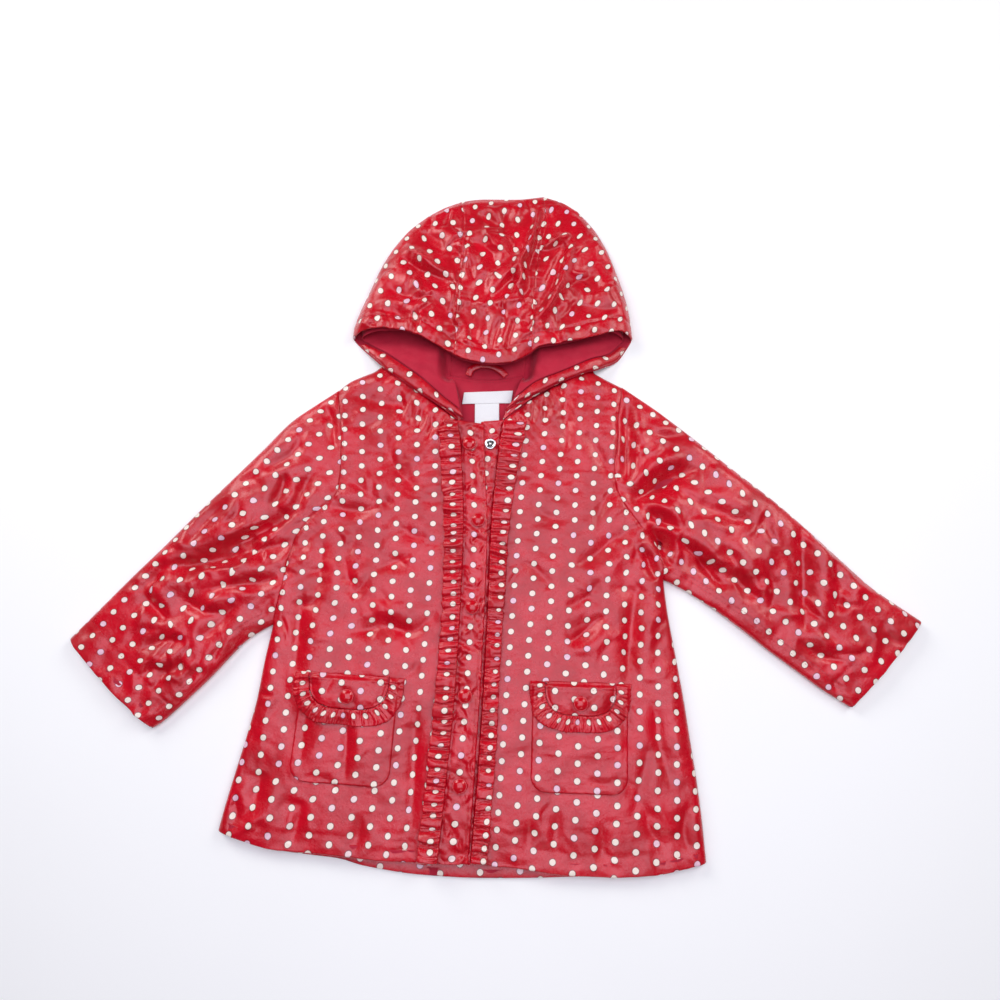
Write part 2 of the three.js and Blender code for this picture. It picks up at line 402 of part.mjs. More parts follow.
// Patch pockets with ruffled flaps, each laid on the front under it.
function pocketSet(row) {
  const panel = made["front_" + row.side], a = (row.lean * Math.PI) / 180;
  const place = (px, py) => [row.x + px * Math.cos(a) - py * Math.sin(a), row.y + px * Math.sin(a) + py * Math.cos(a)];
  const onPanel = lying(sampler(panel), 4, BODY_H);
  const corner = 14, half = row.w / 2;
  // The bag of the pocket: straight sides, rounded lower corners.
  const bag = even(8).map((v) => {
    const y = -row.h + v * (row.h - 4), up = y + row.h, w = up < corner ? half - corner + Math.sqrt(corner ** 2 - (corner - up) ** 2) : half;
    return [-1, -0.66, -0.33, 0, 0.33, 0.66, 1].map((u) => { const p = place(u * w, y); return [...p, onPanel(...p) + REST + THIN]; });
  });
  add("pocket_" + row.side, slabOf(bag, THIN), "shell");
  // The flap: straight at its top, round at its ends and below.
  const onPocket = lying(sampler(panel, made["pocket_" + row.side]), 13, BODY_H + 2);
  const round = (t, grow) => {
    const n = 3.2, c = Math.cos(t), s = Math.sin(t);
    return [(row.flapW / 2 + grow) * Math.sign(c) * Math.abs(c) ** (2 / n), -(row.flapH + grow) * Math.abs(s) ** (2 / n)];
  };
  const flap = even(3).map((v) => even(10).map((k) => {
    const edge = round(Math.PI * (1 - k), -0.8), p = place(lerp(edge[0], edge[0], v), lerp(edge[1], 0, v));
    return [...p, onPocket(...p) + REST + CLOTH];
  }));
  add("flap_" + row.side, slabOf(flap, CLOTH), "shell");
  const held = (t) => place(...round(Math.PI * t, 0)), free = (t) => place(...round(Math.PI * t, row.ruffle));
  add("flap_ruffle_" + row.side, ruffle(held, free, onPocket, FLAP_PLEATS, 1.8, THIN), "shell");
  return { at: place(0, -row.flapH * 0.62), on: lying(sampler(made["flap_" + row.side]), CAP_R, BODY_H + 4) };
}
const pocketCaps = POCKETS.map(pocketSet);

// Snap caps: low domes with a rolled rim. The open snap is a ring with a ball in it.
function dome(radius, height) {
  const profile = [[0, 0], [radius * 0.92, 0], [radius, height * 0.28], [radius * 0.93, height * 0.5], [radius * 0.7, height * 0.82], [radius * 0.36, height * 0.97], [0, height]];
  return closedLathe(profile, 14);
}
function closedLathe(profile, sides) {
  const g = new THREE.LatheGeometry(profile.map(([r, z]) => new THREE.Vector2(r, z)), sides);
  g.rotateX(Math.PI / 2);
  g.deleteAttribute("normal");
  g.deleteAttribute("uv");
  const merged = mergeVertices(g, 1e-4), ix = merged.index.array, faces = [];
  const p = merged.attributes.position, verts = Array.from({ length: p.count }, (_, i) => [p.getX(i), p.getY(i), p.getZ(i)]);
  for (let i = 0; i < ix.length; i += 3) if (ix[i] !== ix[i + 1] && ix[i + 1] !== ix[i + 2] && ix[i] !== ix[i + 2]) faces.push([ix[i], ix[i + 1], ix[i + 2]]);
  return geometry(verts, faces);
}
function snapAt(name, [x, y], on, geom, kind) {
  geom.translate(x, y, on(x, y) + REST);
  add(name, geom, kind);
}
const onBand = lying(sampler(made.placket_right), CAP_R, BODY_H + BAND_LIFT);
SNAP_CAPS.forEach((c, i) => snapAt("snap_cap_" + (i + 1), [c.x, c.y], onBand, dome(CAP_R, CAP_H), "snap"));
pocketCaps.forEach((c, i) => snapAt("snap_cap_pocket_" + POCKETS[i].side, c.at, c.on, dome(CAP_R, CAP_H), "snap"));
{
  const r = SOCKET_R, profile = [[0, 0], [r, 0], [r, 1.1], [r * 0.82, 1.7], [r * 0.5, 1.5], [r * 0.46, 0.7], [r * 0.26, 0.7], [r * 0.24, 1.7], [0, 2.2]];
  const onUnder = lying(sampler(made.placket_left), SOCKET_R * 0.6, BODY_H);
  snapAt("snap_socket", [SOCKET.x, SOCKET.y], onUnder, closedLathe(profile, 18), "metal");
}

// Hood. Each panel runs from the brim, round the fold at the outline, and back under to the neck.
const HOOD_U = [0, 0.05, 0.12, 0.28, 0.46, 0.64, 0.8, 0.93, 1], MID_U = even(4);
const HOOD_V = [0, 0.045, 0.09, 0.135, 0.19, 0.26, 0.36, 0.49, 0.64, 0.8, 0.93, 1];
const TURN_ROWS = 4, TURN_V = HOOD_V[TURN_ROWS]; // the rows beside the turn at the neck opening
const shiftX = (c, by) => Object.assign((t) => { const p = c(t); return [p[0] + by, p[1]]; }, { pts: c.pts.map((p) => [p[0] + by, p[1]]) });
const shiftY = (c, by) => Object.assign((t) => { const p = c(t); return [p[0], p[1] + by]; }, { pts: c.pts.map((p) => [p[0], p[1] + by]) });

// The plan curves of the hood; inset draws them further in, for the lining.
function hoodPlan(inset) {
  const plan = { rim: {}, crown: {}, seam: {}, backSeam: {}, roll: {} };
  const ends = { Right: { x: HOOD.crownMid[0].x, y: HOOD.crownMid[0].y - inset }, Left: { x: HOOD.crownMid.at(-1).x, y: HOOD.crownMid.at(-1).y - inset } };
  for (const [side, sign] of [["Right", -1], ["Left", 1]]) {
    const to = (rows) => curve([...rows.slice(0, -1), ends[side]]);
    plan.rim[side] = aside(curve(HOOD["outline" + side]), sign * inset);
    plan.crown[side] = back2front(side === "Right" ? aside(curve(HOOD.crownRight), -inset) : aside(curve([...HOOD.crownLeft].reverse()), -inset));
    plan.seam[side] = to(HOOD["seam" + side]);
    plan.backSeam[side] = to(HOOD["backSeam" + side]);
    plan.roll[side] = curve(inset ? [HOOD["facing" + side][0], ...HOOD["roll" + side].slice(2)] : HOOD["roll" + side]);
  }
  plan.crown.Left = back2front(plan.crown.Left);
  plan.crown.mid = aside(curve(HOOD.crownMid), -inset);
  plan.outline = { pts: [...plan.rim.Right.pts, ...back2front(plan.crown.Right).pts, ...plan.crown.mid.pts, ...plan.crown.Left.pts, ...back2front(plan.rim.Left).pts] };
  return plan;
}
function turnAndSeam(plan, side, by) {
  const roll = shiftX(plan.roll[side], by), seam = shiftX(plan.backSeam[side], by);
  return Object.assign((v) => (v < TURN_V ? roll(v / TURN_V) : seam((v - TURN_V) / (1 - TURN_V))), { pts: [...roll.pts, ...seam.pts] });
}
const sideGrids = (plan, side, gap, brim, wing) => ({
  upper: patch(brim, plan.crown[side], shiftX(plan.seam[side], gap), plan.rim[side], HOOD_U, HOOD_V),
  under: patch(wing, plan.crown[side], turnAndSeam(plan, side, gap), plan.rim[side], HOOD_U, HOOD_V),
});
const midGrids = (plan, gap, brim, neck) => ({
  upper: patch(brim, plan.crown.mid, shiftX(plan.seam.Right, gap), shiftX(plan.seam.Left, -gap), MID_U, HOOD_V),
  under: patch(neck, plan.crown.mid, shiftX(plan.backSeam.Right, gap), shiftX(plan.backSeam.Left, -gap), MID_U, HOOD_V.filter((v) => v >= TURN_V).map((v) => (v - TURN_V) / (1 - TURN_V))),
});

// Heights: the upper layer, and the under layer with its rise over the shoulders, both for an outer face.
function upperZ(p, d, drop) {
  const h = table(HOOD_RISE, "y", "h", p[1]) - drop + folds(...p) * smooth(d / 14);
  return d < 0.3 ? FOLD_Z : FOLD_Z + (h - FOLD_Z) * (0.72 * rise(d, 18) + 0.28 * smooth(d / 70));
}
function wingRise(p, plan, side) {
  const out = Math.abs(p[0] + 13);
  return WING_Z * smooth((340 - p[1]) / 36) * (1 - smooth((out - 98) / 42)) * smooth((distance(p, plan.backSeam[side]) - 4) / 10);
}
function underZ(p, d, plan, side, up) {
  if (d < 0.3) return FOLD_Z;
  const r = side ? wingRise(p, plan, side) / WING_Z : 0;
  return Math.max(FOLD_Z * (1 - rise(d, FOLD_UNDER_W)), up + WING_Z * r + (up ? 5.6 * r * (1 - r) : 0));
}
const lifted = (grids, plan, side, drop, up) => [
  { points: grids.upper.map((r) => r.map((p) => [...p, upperZ(p, distance(p, plan.outline), drop)])), flip: false },
  { points: grids.under.map((r) => r.map((p) => [...p, underZ(p, distance(p, plan.outline), plan, side, up)])), flip: true },
];
const shellPlan = hoodPlan(0), GAP = SEAM * 0.8, underWalls = [];
for (const [side, sign, rows, height] of [["Right", -1, FRONT_RIGHT, frontHeight(FRONT_RIGHT, BAND_LIFT)], ["Left", 1, FRONT_LEFT, frontHeight(FRONT_LEFT, 0)]]) {
  const grids = lifted(sideGrids(shellPlan, side, sign * GAP, curve(HOOD["brim" + side]), curve(HOOD["wing" + side])), shellPlan, side, 0, 0);
  underWalls.push(wallOf([{ points: grids[1].points.map((r) => r.map((p) => [...p])), flip: true }], HOOD_CLOTH));
  const turn = grids[1].points.slice(0, TURN_ROWS).map((r) => r[0]);
  for (const p of turn) p[2] = TURN_Z;
  // The stand: from the turn at the neck opening, under the wing, to the neck edge of the front.
  const neck = aside(back2front(curve(rows.neck)), sign * STAND_GAP);
  const stand = turn.map((p, j) => [0, 0.3, 0.65, 1].map((u) => {
    if (u === 0) return p;
    const q = neck(j / (TURN_ROWS - 1)), z = lerp(STAND_Z, Math.max(height(q), STAND_Z - 1), smooth((u - 0.6) / 0.4));
    return [...mix(p, q, u), z];
  }));
  add("hood_side_" + side.toLowerCase(), wallOf([...grids, { points: stand, flip: false }], HOOD_CLOTH), "shell");
}
const middle = lifted(midGrids(shellPlan, GAP, curve(HOOD.brimMid), curve(HOOD.neck)), shellPlan, null, 0, 0);
underWalls.push(wallOf([middle[1]], HOOD_CLOTH));
add("hood_centre", wallOf(middle, HOOD_CLOTH), "shell");

// Hood lining: one bag inside the shell, cut back to the facings on the wings.
const liningPlan = hoodPlan(LINING_INSET), LIFT = HOOD_CLOTH + LINING_GAP;
const onUnder = sampler(...underWalls), onShell = lying(onUnder, 6, HOOD_CLOTH), onWing = lying(onUnder, 10, WING_Z + HOOD_CLOTH);
{
  const laid = ([upper, under]) => [upper, { ...under, points: under.points.map((r) => r.map((p) => (distance(p, liningPlan.outline) < 0.3 ? p : [p[0], p[1], onShell(p[0], p[1]) + LINING_GAP]))) }];
  const brims = { Right: shiftY(curve(HOOD.brimRight), 3), Left: shiftY(curve(HOOD.brimLeft), 3), Mid: shiftY(curve(HOOD.brimMid), 3) };
  const grids = [];
  for (const [side, sign] of [["Right", -1], ["Left", 1]]) {
    const g = laid(lifted(sideGrids(liningPlan, side, 0, brims[side], aside(curve(HOOD["facing" + side]), sign * 0.6)), liningPlan, side, LIFT + 1.6, LIFT));
    grids.push(...(side === "Right" ? g : g.map(({ points, flip }) => ({ points: points.map((r) => [...r].reverse()), flip }))));
  }
  grids.push(...laid(lifted(midGrids(liningPlan, 0, brims.Mid, curve(HOOD.neck)), liningPlan, null, LIFT + 1.6, LIFT)).map(({ points, flip }) => ({ points: points.map((r) => [...r].reverse()), flip })));
  add("hood_lining", wallOf(grids, THIN), "lining");
}
// Facings: strips of shell along the turned-out edges.
for (const [side, sign] of [["Right", -1], ["Left", 1]]) {
  const edge = aside(curve(HOOD["wing" + side]), sign * 0.5), inner = aside(curve(HOOD["facing" + side]), -sign * 0.9);
  const grid = [0, 0.5, 1].map((u) => HOOD_U.filter((v) => v < 0.8).map((v) => { const p = mix(edge(v), inner(v), u); return [...p, onWing(...p) + LINING_GAP + THIN]; }));
  add("hood_facing_" + side.toLowerCase(), slabOf(grid, THIN), "shell");
}

// Inside the neck: the back lining, the hanging loop and two blank labels.
{
  const top = CLOTH + REST + THIN;
  const neck = shiftY(curve(BACK_NECK), -2), low = curve([{ x: -78, y: 214 }, { x: -12, y: 206 }, { x: 52, y: 214 }]);
  const pick = (c, a, b) => Object.assign((t) => c(lerp(a, b, t)), { pts: c.pts });
  const upper = pick(neck, 0.17, 0.84);
  add("back_lining", slabOf(patch(low, upper, curve([{ x: -78, y: 214 }, { x: upper(0)[0], y: upper(0)[1] }]), curve([{ x: 52, y: 214 }, { x: upper(1)[0], y: upper(1)[1] }]), even(8), even(5)).map((r) => r.map((p) => [...p, top])), THIN), "lining");
  const label = (w, e) => slabOf(patch(curve([w[0], e[0]]), curve([w[1], e[1]]), curve([w[0], w[1]]), curve([e[0], e[1]]), even(3), even(3)).map((r) => r.map((p) => [...p, top + REST + THIN])), THIN);
  add("label_wide", label(LABELS.wide.west, LABELS.wide.east), "label");
  add("label_care", label(LABELS.care.west, LABELS.care.east), "label");
  const loop = curve(HANGING_LOOP), half = LOOP_W / 2;
  const grid = even(12).map((v) => [-half, half].map((k) => { const p = aside(loop, k)(v); return [...p, LIFT + THIN + REST + 1.3 + CLOTH + 2.2 * Math.sin(Math.PI * v)]; }));
  add("hanging_loop", slabOf(grid, CLOTH), "shell");
}

coat.position.set(SHIFT.x, SHIFT.y, 0);
export default coat;
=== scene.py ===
import bpy
import math
import numpy as np
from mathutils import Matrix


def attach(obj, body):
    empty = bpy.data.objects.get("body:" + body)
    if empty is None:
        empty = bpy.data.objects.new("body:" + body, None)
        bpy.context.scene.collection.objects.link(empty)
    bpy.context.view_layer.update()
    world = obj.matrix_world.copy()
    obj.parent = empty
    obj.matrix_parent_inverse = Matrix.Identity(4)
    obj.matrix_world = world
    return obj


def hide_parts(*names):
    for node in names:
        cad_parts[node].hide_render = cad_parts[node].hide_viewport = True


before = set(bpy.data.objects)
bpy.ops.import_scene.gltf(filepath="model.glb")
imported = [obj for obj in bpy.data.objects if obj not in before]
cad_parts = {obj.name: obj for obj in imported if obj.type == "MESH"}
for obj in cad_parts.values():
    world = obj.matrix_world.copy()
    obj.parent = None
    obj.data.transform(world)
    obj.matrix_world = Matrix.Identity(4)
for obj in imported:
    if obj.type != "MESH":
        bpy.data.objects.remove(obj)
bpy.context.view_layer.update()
SHIFT = np.array([3.0, -157.2, 0.0])

# ---------- sizes, the same as the solids' ----------
CLOTH, HOOD_CLOTH, THIN, SEAM, REST = 1.4, 1.2, 1.0, 0.35, 0.45
BODY_H, EDGE_H, SLEEVE_H, CUFF_H, FOLD_Z = 11.0, 3.45, 17.0, 13.0, 4.5
BACK_INSET, EDGE_W, FOLD_UNDER_W, BAND_W, BAND_LIFT = 1.2, 15, 5, 23, 1.9
WING_Z, TURN_Z, STAND_Z, SLEEVE_GAP, STAND_GAP = 12.6, 11.8, 11.0, 0.08, 1.2
LINING_INSET, LINING_GAP, LOOP_W, CAP_R, CAP_H, SOCKET_R = 9, 0.8, 8, 6.8, 3.2, 5.6

# ---------- outlines ----------
FRONT_RIGHT = {
    "hem": [(-55, -166), (-98, -165), (-146, -160), (-209, -154), (-252, -140)],
    "centre": [(-55, -166), (-48, -95), (-41, -18), (-37, 65), (-35, 141), (-38, 211), (-42, 241)],
    "side": [(-252, -140), (-246, -113), (-233, -62), (-225, -27), (-220, 9), (-214, 42)],
    "armhole": [(-214, 42), (-207, 74), (-202, 103), (-197, 123), (-185, 142), (-171, 155), (-159, 167), (-156, 185), (-156, 214), (-158, 245), (-162, 275)],
    "shoulder": [(-162, 275), (-150, 285), (-127, 295), (-112, 300)],
    "neck": [(-112, 300), (-88, 279), (-66, 260), (-42, 241)],
}
FRONT_LEFT = {
    "hem": [(-26, -167), (18, -171), (53, -176), (100, -178), (141, -176), (183, -167)],
    "centre": [(-26, -167), (-20, -95), (-15, -18), (-11, 65), (-8, 141), (-1, 211), (4, 242)],
    "side": [(183, -167), (181, -130), (178, -96), (174, -62), (170, -27), (165, 9), (159, 50), (156, 84)],
    "armhole": [(156, 84), (154, 103), (149, 122), (136, 135), (121, 156), (113, 174), (112, 195), (116, 222), (118, 250), (123, 278)],
    "shoulder": [(123, 278), (108, 286), (96, 293), (88, 297)],
    "neck": [(88, 297), (60, 280), (35, 266), (15, 251), (4, 242)],
}
SLEEVE_RIGHT = {
    "upper": [(-162, 275), (-206, 243), (-233, 213), (-262, 182), (-290, 152), (-320, 119), (-353, 84), (-403, 29)],
    "lower": [(-214, 42), (-238, 27), (-271, -9), (-306, -43), (-319, -52)],
    "cuff": [(-403, 29), (-364, -12), (-319, -52)],
}
SLEEVE_LEFT = {
    "upper": [(123, 278), (157, 253), (194, 222), (229, 192), (265, 162), (297, 132), (326, 103), (354, 76), (397, 45)],
    "lower": [(156, 84), (176, 74), (203, 56), (228, 37), (250, 19), (275, 0), (299, -18), (324, -34)],
    "cuff": [(397, 45), (362, 5), (324, -34)],
}
BACK_HEM = [(-250, -138), (-209, -152), (-146, -160), (-123, -166), (-88, -172), (-60, -175), (-18, -177), (22, -177), (60, -176), (100, -176), (141, -175), (181, -166)]
BACK_NECK = [(-112, 300), (-80, 292), (-50, 287), (-14, 285), (22, 287), (56, 291), (88, 297)]
OVERLAP_EDGE = [(-28, -166), (-23, -95), (-18, -18), (-14, 65), (-12, 141), (-14, 181), (-16, 237)]
RUFFLE_RIGHT_OUT = [(-74, -166), (-66, -95), (-59, -18), (-54, 65), (-54, 141), (-57, 181), (-60, 240)]
RUFFLE_LEFT_OUT = [(-11, -167), (-5, -95), (-1, -18), (4, 65), (10, 141), (16, 181), (27, 240)]
HOOD = {
    "outlineRight": [(-150, 331), (-149, 342), (-143, 361), (-134, 383), (-125, 406), (-113, 429), (-96, 452), (-75, 470)],
    "crownRight": [(-75, 470), (-58, 480), (-41, 487)],
    "crownMid": [(-41, 487), (-21, 490), (21, 490), (46, 493)],
    "crownLeft": [(82, 475), (66, 486), (46, 493)],
    "outlineLeft": [(135, 330), (134, 345), (132, 361), (127, 383), (120, 406), (112, 429), (100, 452), (82, 475)],
    "brimRight": [(-45, 306), (-55, 312), (-79, 326), (-105, 334), (-130, 335), (-150, 331)],
    "brimMid": [(-45, 306), (-34, 301), (-15, 297), (0, 297), (16, 300), (31, 309)],
    "brimLeft": [(31, 309), (40, 315), (60, 318), (82, 323), (103, 330), (120, 334), (135, 330)],
    "seamRight": [(-45, 306), (-43, 363), (-41, 407), (-37, 456), (-41, 487)],
    "seamLeft": [(31, 309), (33, 353), (35, 387), (41, 425), (49, 458), (46, 493)],
    "backSeamRight": [(-50, 291.5), (-48, 340), (-44, 400), (-41, 487)],
    "backSeamLeft": [(24, 291.5), (30, 340), (38, 400), (46, 493)],
    "neck": [(-50, 291.5), (-31, 288.2), (-13, 287.2), (5, 288.2), (24, 291.5)],
    "rollRight": [(-37, 243), (-40, 260), (-44, 276), (-50, 291.5)],
    "rollLeft": [(6, 251), (14, 263), (19, 277), (24, 291.5)],
    "wingRight": [(-37, 243), (-59, 256), (-79, 269), (-100, 284), (-117, 297), (-150, 331)],
    "wingLeft": [(6, 251), (20, 261), (39, 270), (59, 280), (83, 290), (100, 296), (120, 308), (135, 330)],
    "facingRight": [(-39.5, 252), (-59, 268), (-79, 286), (-100, 301), (-115, 312), (-143, 330.5)],
    "facingLeft": [(14, 264), (35, 281), (59, 291), (90, 305), (111, 314), (128, 330)],
}
HOOD_RISE = [(295, 24), (330, 25), (370, 23), (410, 20), (450, 16), (480, 12), (495, 10)]
# The largest folds: a soft trough from a to b, w wide and d deep at its middle (ax, ay, bx, by, w, d).
FOLDS = [
    (-196, 118, -110, 108, 13, 2.2), (-196, 150, -290, 96, 12, 3.6), (-210, 128, -330, 30, 11, 3.0), (-170, 60, -96, 34, 12, 2.4),
    (-208, 20, -186, -60, 9, 2.2), (120, 168, 200, 206, 11, 3.2), (128, 268, 124, 176, 8, 2.6), (150, 128, 232, 76, 12, 3.4),
    (270, 120, 262, 30, 12, 3.0), (118, 100, 128, 0, 9, 2.2), (40, 20, 116, 78, 11, 2.0), (-70, 430, -40, 330, 13, 3.2),
    (10, 440, 40, 340, 13, 3.4), (96, 420, 58, 340, 12, 3.0),
]
SNAP_CAPS = [(-30, 217), (-21, 141), (-26, 58), (-32, -23), (-36, -101)]
SOCKET = (-9.5, 217)
POCKETS = {
    "right": dict(x=-138, y=-4, lean=-4, w=90, h=96, flapW=74, flapH=31, ruffle=14),
    "left": dict(x=74, y=-11, lean=-2, w=87, h=97, flapW=66, flapH=30, ruffle=14),
}
HANGING_LOOP = [(-32, 290.5), (-29, 297), (-20, 301), (-8, 300), (1, 295), (6, 290)]

# Creases: points along each, half width, depth (a ridge is negative) and the height of the ridge beside it.
CREASES_FRONT_RIGHT = [
    ([(-164, 155), (-140, 151), (-114, 154)], 8, 1.8, 0.4),
    ([(-148, 181), (-124, 165), (-102, 156)], 7, 1.2, 0.4),
    ([(-113, 232), (-112, 212), (-101, 193), (-87, 178), (-80, 169)], 9, 1.3, 0.3),
    ([(-147, 270), (-119, 261), (-89, 257)], 9, 1.4, 0.3),
    ([(-145, 234), (-130, 238), (-117, 246)], 7, 1, 0.4),
    ([(-152, 112), (-138, 71), (-121, 93)], 8, 1.4, 0.4),
    ([(-146, 34), (-125, 37), (-104, 40), (-81, 35), (-59, 53)], 8, 1.7, 0.5),
    ([(-186, 78), (-189, 37), (-190, -10)], 9, 2, 0.3),
    ([(-118, 92), (-101, 101), (-84, 107)], 7, 1.3, 0.4),
    ([(-139, -37), (-139, -66), (-140, -96)], 6, 1.2, 0.4),
    ([(-78, -27), (-78, -79), (-80, -138)], 8, 1.5, 0.3),
    ([(-170, 122), (-172, 84), (-178, 55)], 8, 1.4, 0.3),
    ([(-102, 275), (-97, 258), (-98, 242)], 4, 1, 0.5),
    ([(-91, 269), (-88, 254), (-91, 238)], 4, 1.1, 0.5),
    ([(-80, 261), (-78, 247), (-81, 230)], 4, 1.1, 0.5),
    ([(-68, 251), (-68, 236), (-71, 221)], 4, 1, 0.5),
    ([(-58, 242), (-59, 225)], 4, 1, 0.5),
    ([(-214, -88), (-219, -113), (-230, -134)], 8, 1.4, 0.3),
    ([(-178, -113), (-181, -134), (-185, -150)], 6, 0.9, 0.3),
    ([(-124, -126), (-127, -145), (-130, -159)], 6, 0.9, 0.3),
    ([(-240, -105), (-235, -126), (-242, -140)], 6, 1, 0.3),
    ([(-165, -18), (-177, -44), (-180, -79)], 7, 1, 0.3),
    ([(-101, 141), (-86, 127), (-67, 122)], 6, 0.9, 0.4),
]
CREASES_FRONT_LEFT = [
    ([(86, 230), (98, 206), (107, 185)], 7, 1.3, 0.4),
    ([(65, 264), (66, 237), (65, 209)], 6, 1.2, 0.4),
    ([(129, 138), (117, 127), (105, 120), (89, 106), (73, 98)], 9, 1.7, 0.4),
    ([(97, 51), (79, 35), (63, 24)], 7, 2.2, 0.5),
    ([(132, 84), (123, 37), (117, -18)], 8, 1.8, 0.3),
    ([(95, 84), (83, 68), (62, 59)], 7, 1.2, 0.4),
    ([(18, 271), (20, 252), (16, 234)], 4, 1, 0.5),
    ([(30, 275), (33, 259), (31, 238)], 4, 1.1, 0.5),
    ([(44, 281), (46, 261), (44, 237)], 5, 1.1, 0.5),
    ([(57, 286), (60, 267)], 4, 0.9, 0.5),
    ([(142, -27), (145, -66), (154, -105)], 8, 1.3, 0.3),
    ([(129, -113), (133, -138), (148, -155)], 7, 1.1, 0.3),
    ([(53, -121), (49, -145), (53, -164)], 6, 1, 0.3),
    ([(89, -134), (91, -151), (86, -168)], 6, 0.9, 0.3),
    ([(27, -130), (25, -155)], 6, 0.9, 0.3),
    ([(170, -113), (163, -138), (169, -160)], 7, 1, 0.3),
    ([(29, 161), (43, 146), (67, 141)], 7, 0.9, 0.4),
    ([(19, 103), (38, 91), (49, 74)], 6, 0.9, 0.4),
    ([(107, 171), (96, 151), (92, 132)], 6, 1, 0.4),
    ([(136, -66), (125, -105), (117, -130)], 6, 0.9, 0.3),
]
CREASES_SLEEVE_RIGHT = [
    ([(-196, 152), (-233, 129), (-266, 111)], 8, 3.2, 0.5),
    ([(-199, 120), (-260, 106), (-323, 92)], 10, 3.8, 0.5),
    ([(-211, 86), (-239, 80), (-270, 76)], 7, 2.2, 0.5),
    ([(-210, 145), (-243, 133), (-270, 120)], 6, -1.6, 0),
    ([(-208, 188), (-212, 170), (-220, 154)], 6, 2, 0.4),
    ([(-173, 261), (-166, 235), (-162, 211)], 5, 1.5, 0.4),
    ([(-339, 76), (-327, 60), (-310, 45)], 7, 2.2, 0.4),
    ([(-281, 27), (-264, 41), (-243, 66)], 8, 1.8, 0.4),
    ([(-195, 220), (-206, 205), (-231, 190)], 6, 1.4, 0.4),
    ([(-182, 190), (-193, 168), (-196, 152)], 6, 1.8, 0.5),
    ([(-259, 160), (-282, 140), (-298, 116)], 8, 1.6, 0.3),
    ([(-299, 64), (-275, 53), (-256, 53)], 6, 1.6, 0.4),
    ([(-332, 18), (-314, 27), (-291, 26)], 6, 1.6, 0.4),
    ([(-316, 102), (-329, 83), (-341, 75)], 7, 1.8, 0.4),
    ([(-236, 102), (-250, 94), (-292, 90)], 5, -1.3, 0),
    ([(-319, -18), (-307, -1), (-284, 2)], 6, 1.6, 0.4),
]
CREASES_SLEEVE_LEFT = [
    ([(126, 262), (126, 220), (123, 176)], 6, 2.6, 0.4),
    ([(126, 158), (159, 178), (192, 193)], 9, 3.6, 0.5),
    ([(139, 153), (153, 142), (173, 131)], 6, 2.8, 0.6),
    ([(143, 136), (155, 120), (160, 96)], 7, 3.2, 0.5),
    ([(288, 140), (288, 83), (285, 35)], 9, 3.2, 0.4),
    ([(192, 160), (220, 144), (250, 136)], 8, 1.8, 0.3),
    ([(189, 102), (225, 83), (252, 55)], 8, 1.8, 0.4),
    ([(152, 230), (168, 224), (196, 230)], 7, 1.4, 0.3),
    ([(209, 116), (222, 102), (227, 83)], 6, 1.4, 0.4),
    ([(250, 102), (258, 74), (251, 46)], 7, 1.6, 0.4),
    ([(316, 102), (320, 74), (315, 50)], 7, 1.8, 0.4),
    ([(277, 27), (296, 14), (322, 7)], 6, 1.6, 0.4),
    ([(167, 123), (189, 106), (212, 74)], 6, 2, 0.4),
    ([(181, 140), (202, 138), (219, 127)], 6, -1.2, 0),
    ([(133, 116), (142, 102), (146, 83)], 6, 2.4, 0.3),
]
CREASES_HOOD = [
    ([(42, 478), (35, 440), (29, 423), (20, 407), (22, 388), (12, 374)], 5, -3.2, 0),
    ([(51, 475), (44, 439), (36, 416), (30, 398)], 6, 2.4, 0),
    ([(32, 475), (24, 439), (12, 416)], 7, 2.4, 0),
    ([(0, 383), (10, 396), (20, 403)], 4, -1.6, 0),
    ([(16, 398), (6, 378), (-10, 365)], 5, 2.2, 0.5),
    ([(77, 438), (63, 386), (47, 353), (23, 330)], 5, -2.4, 0),
    ([(69, 434), (54, 389), (40, 361), (20, 339)], 5, 2, 0),
    ([(74, 441), (57, 432), (37, 422)], 4, -2, 0),
    ([(67, 432), (51, 423), (39, 416)], 4, 1.6, 0),
    ([(-99, 430), (-83, 414), (-67, 401), (-51, 395)], 6, -2.4, 0),
    ([(-102, 416), (-83, 401), (-65, 391), (-50, 385)], 6, 2, 0),
    ([(-53, 430), (-45, 416), (-41, 399)], 5, 1.8, 0.5),
    ([(-22, 470), (-12, 459), (0, 450)], 5, 1.8, 0.5),
    ([(-32, 363), (-26, 342), (-28, 318)], 5, 1.6, 0.5),
    ([(-16, 357), (-14, 335), (-19, 314)], 5, 1.6, 0.5),
    ([(2, 344), (-4, 327), (-8, 310)], 5, 1.8, 0.5),
    ([(16, 344), (10, 324), (6, 310)], 5, 1.6, 0.5),
    ([(30, 346), (24, 327)], 5, 1.4, 0.5),
    ([(-82, 447), (-65, 432), (-59, 418)], 6, 1.6, 0.4),
    ([(-117, 385), (-101, 372), (-76, 365)], 7, 1.4, 0.4),
    ([(91, 405), (97, 381), (90, 361)], 7, 1.6, 0.4),
    ([(102, 430), (112, 405), (107, 385)], 6, 1.2, 0.4),
    ([(72, 363), (94, 354), (118, 358)], 7, 1.4, 0.4),
    ([(-128, 357), (-108, 352), (-80, 344)], 5, 1, 0.5),
    ([(-31, 434), (-14, 423), (-4, 405)], 7, 1.8, 0.4),
    ([(-12, 396), (-20, 376), (-30, 363)], 6, 1.4, 0.4),
    ([(0, 475), (6, 459), (2, 443)], 6, 1.4, 0.4),
    ([(-70, 374), (-60, 357), (-48, 346)], 6, 1.4, 0.4),
]

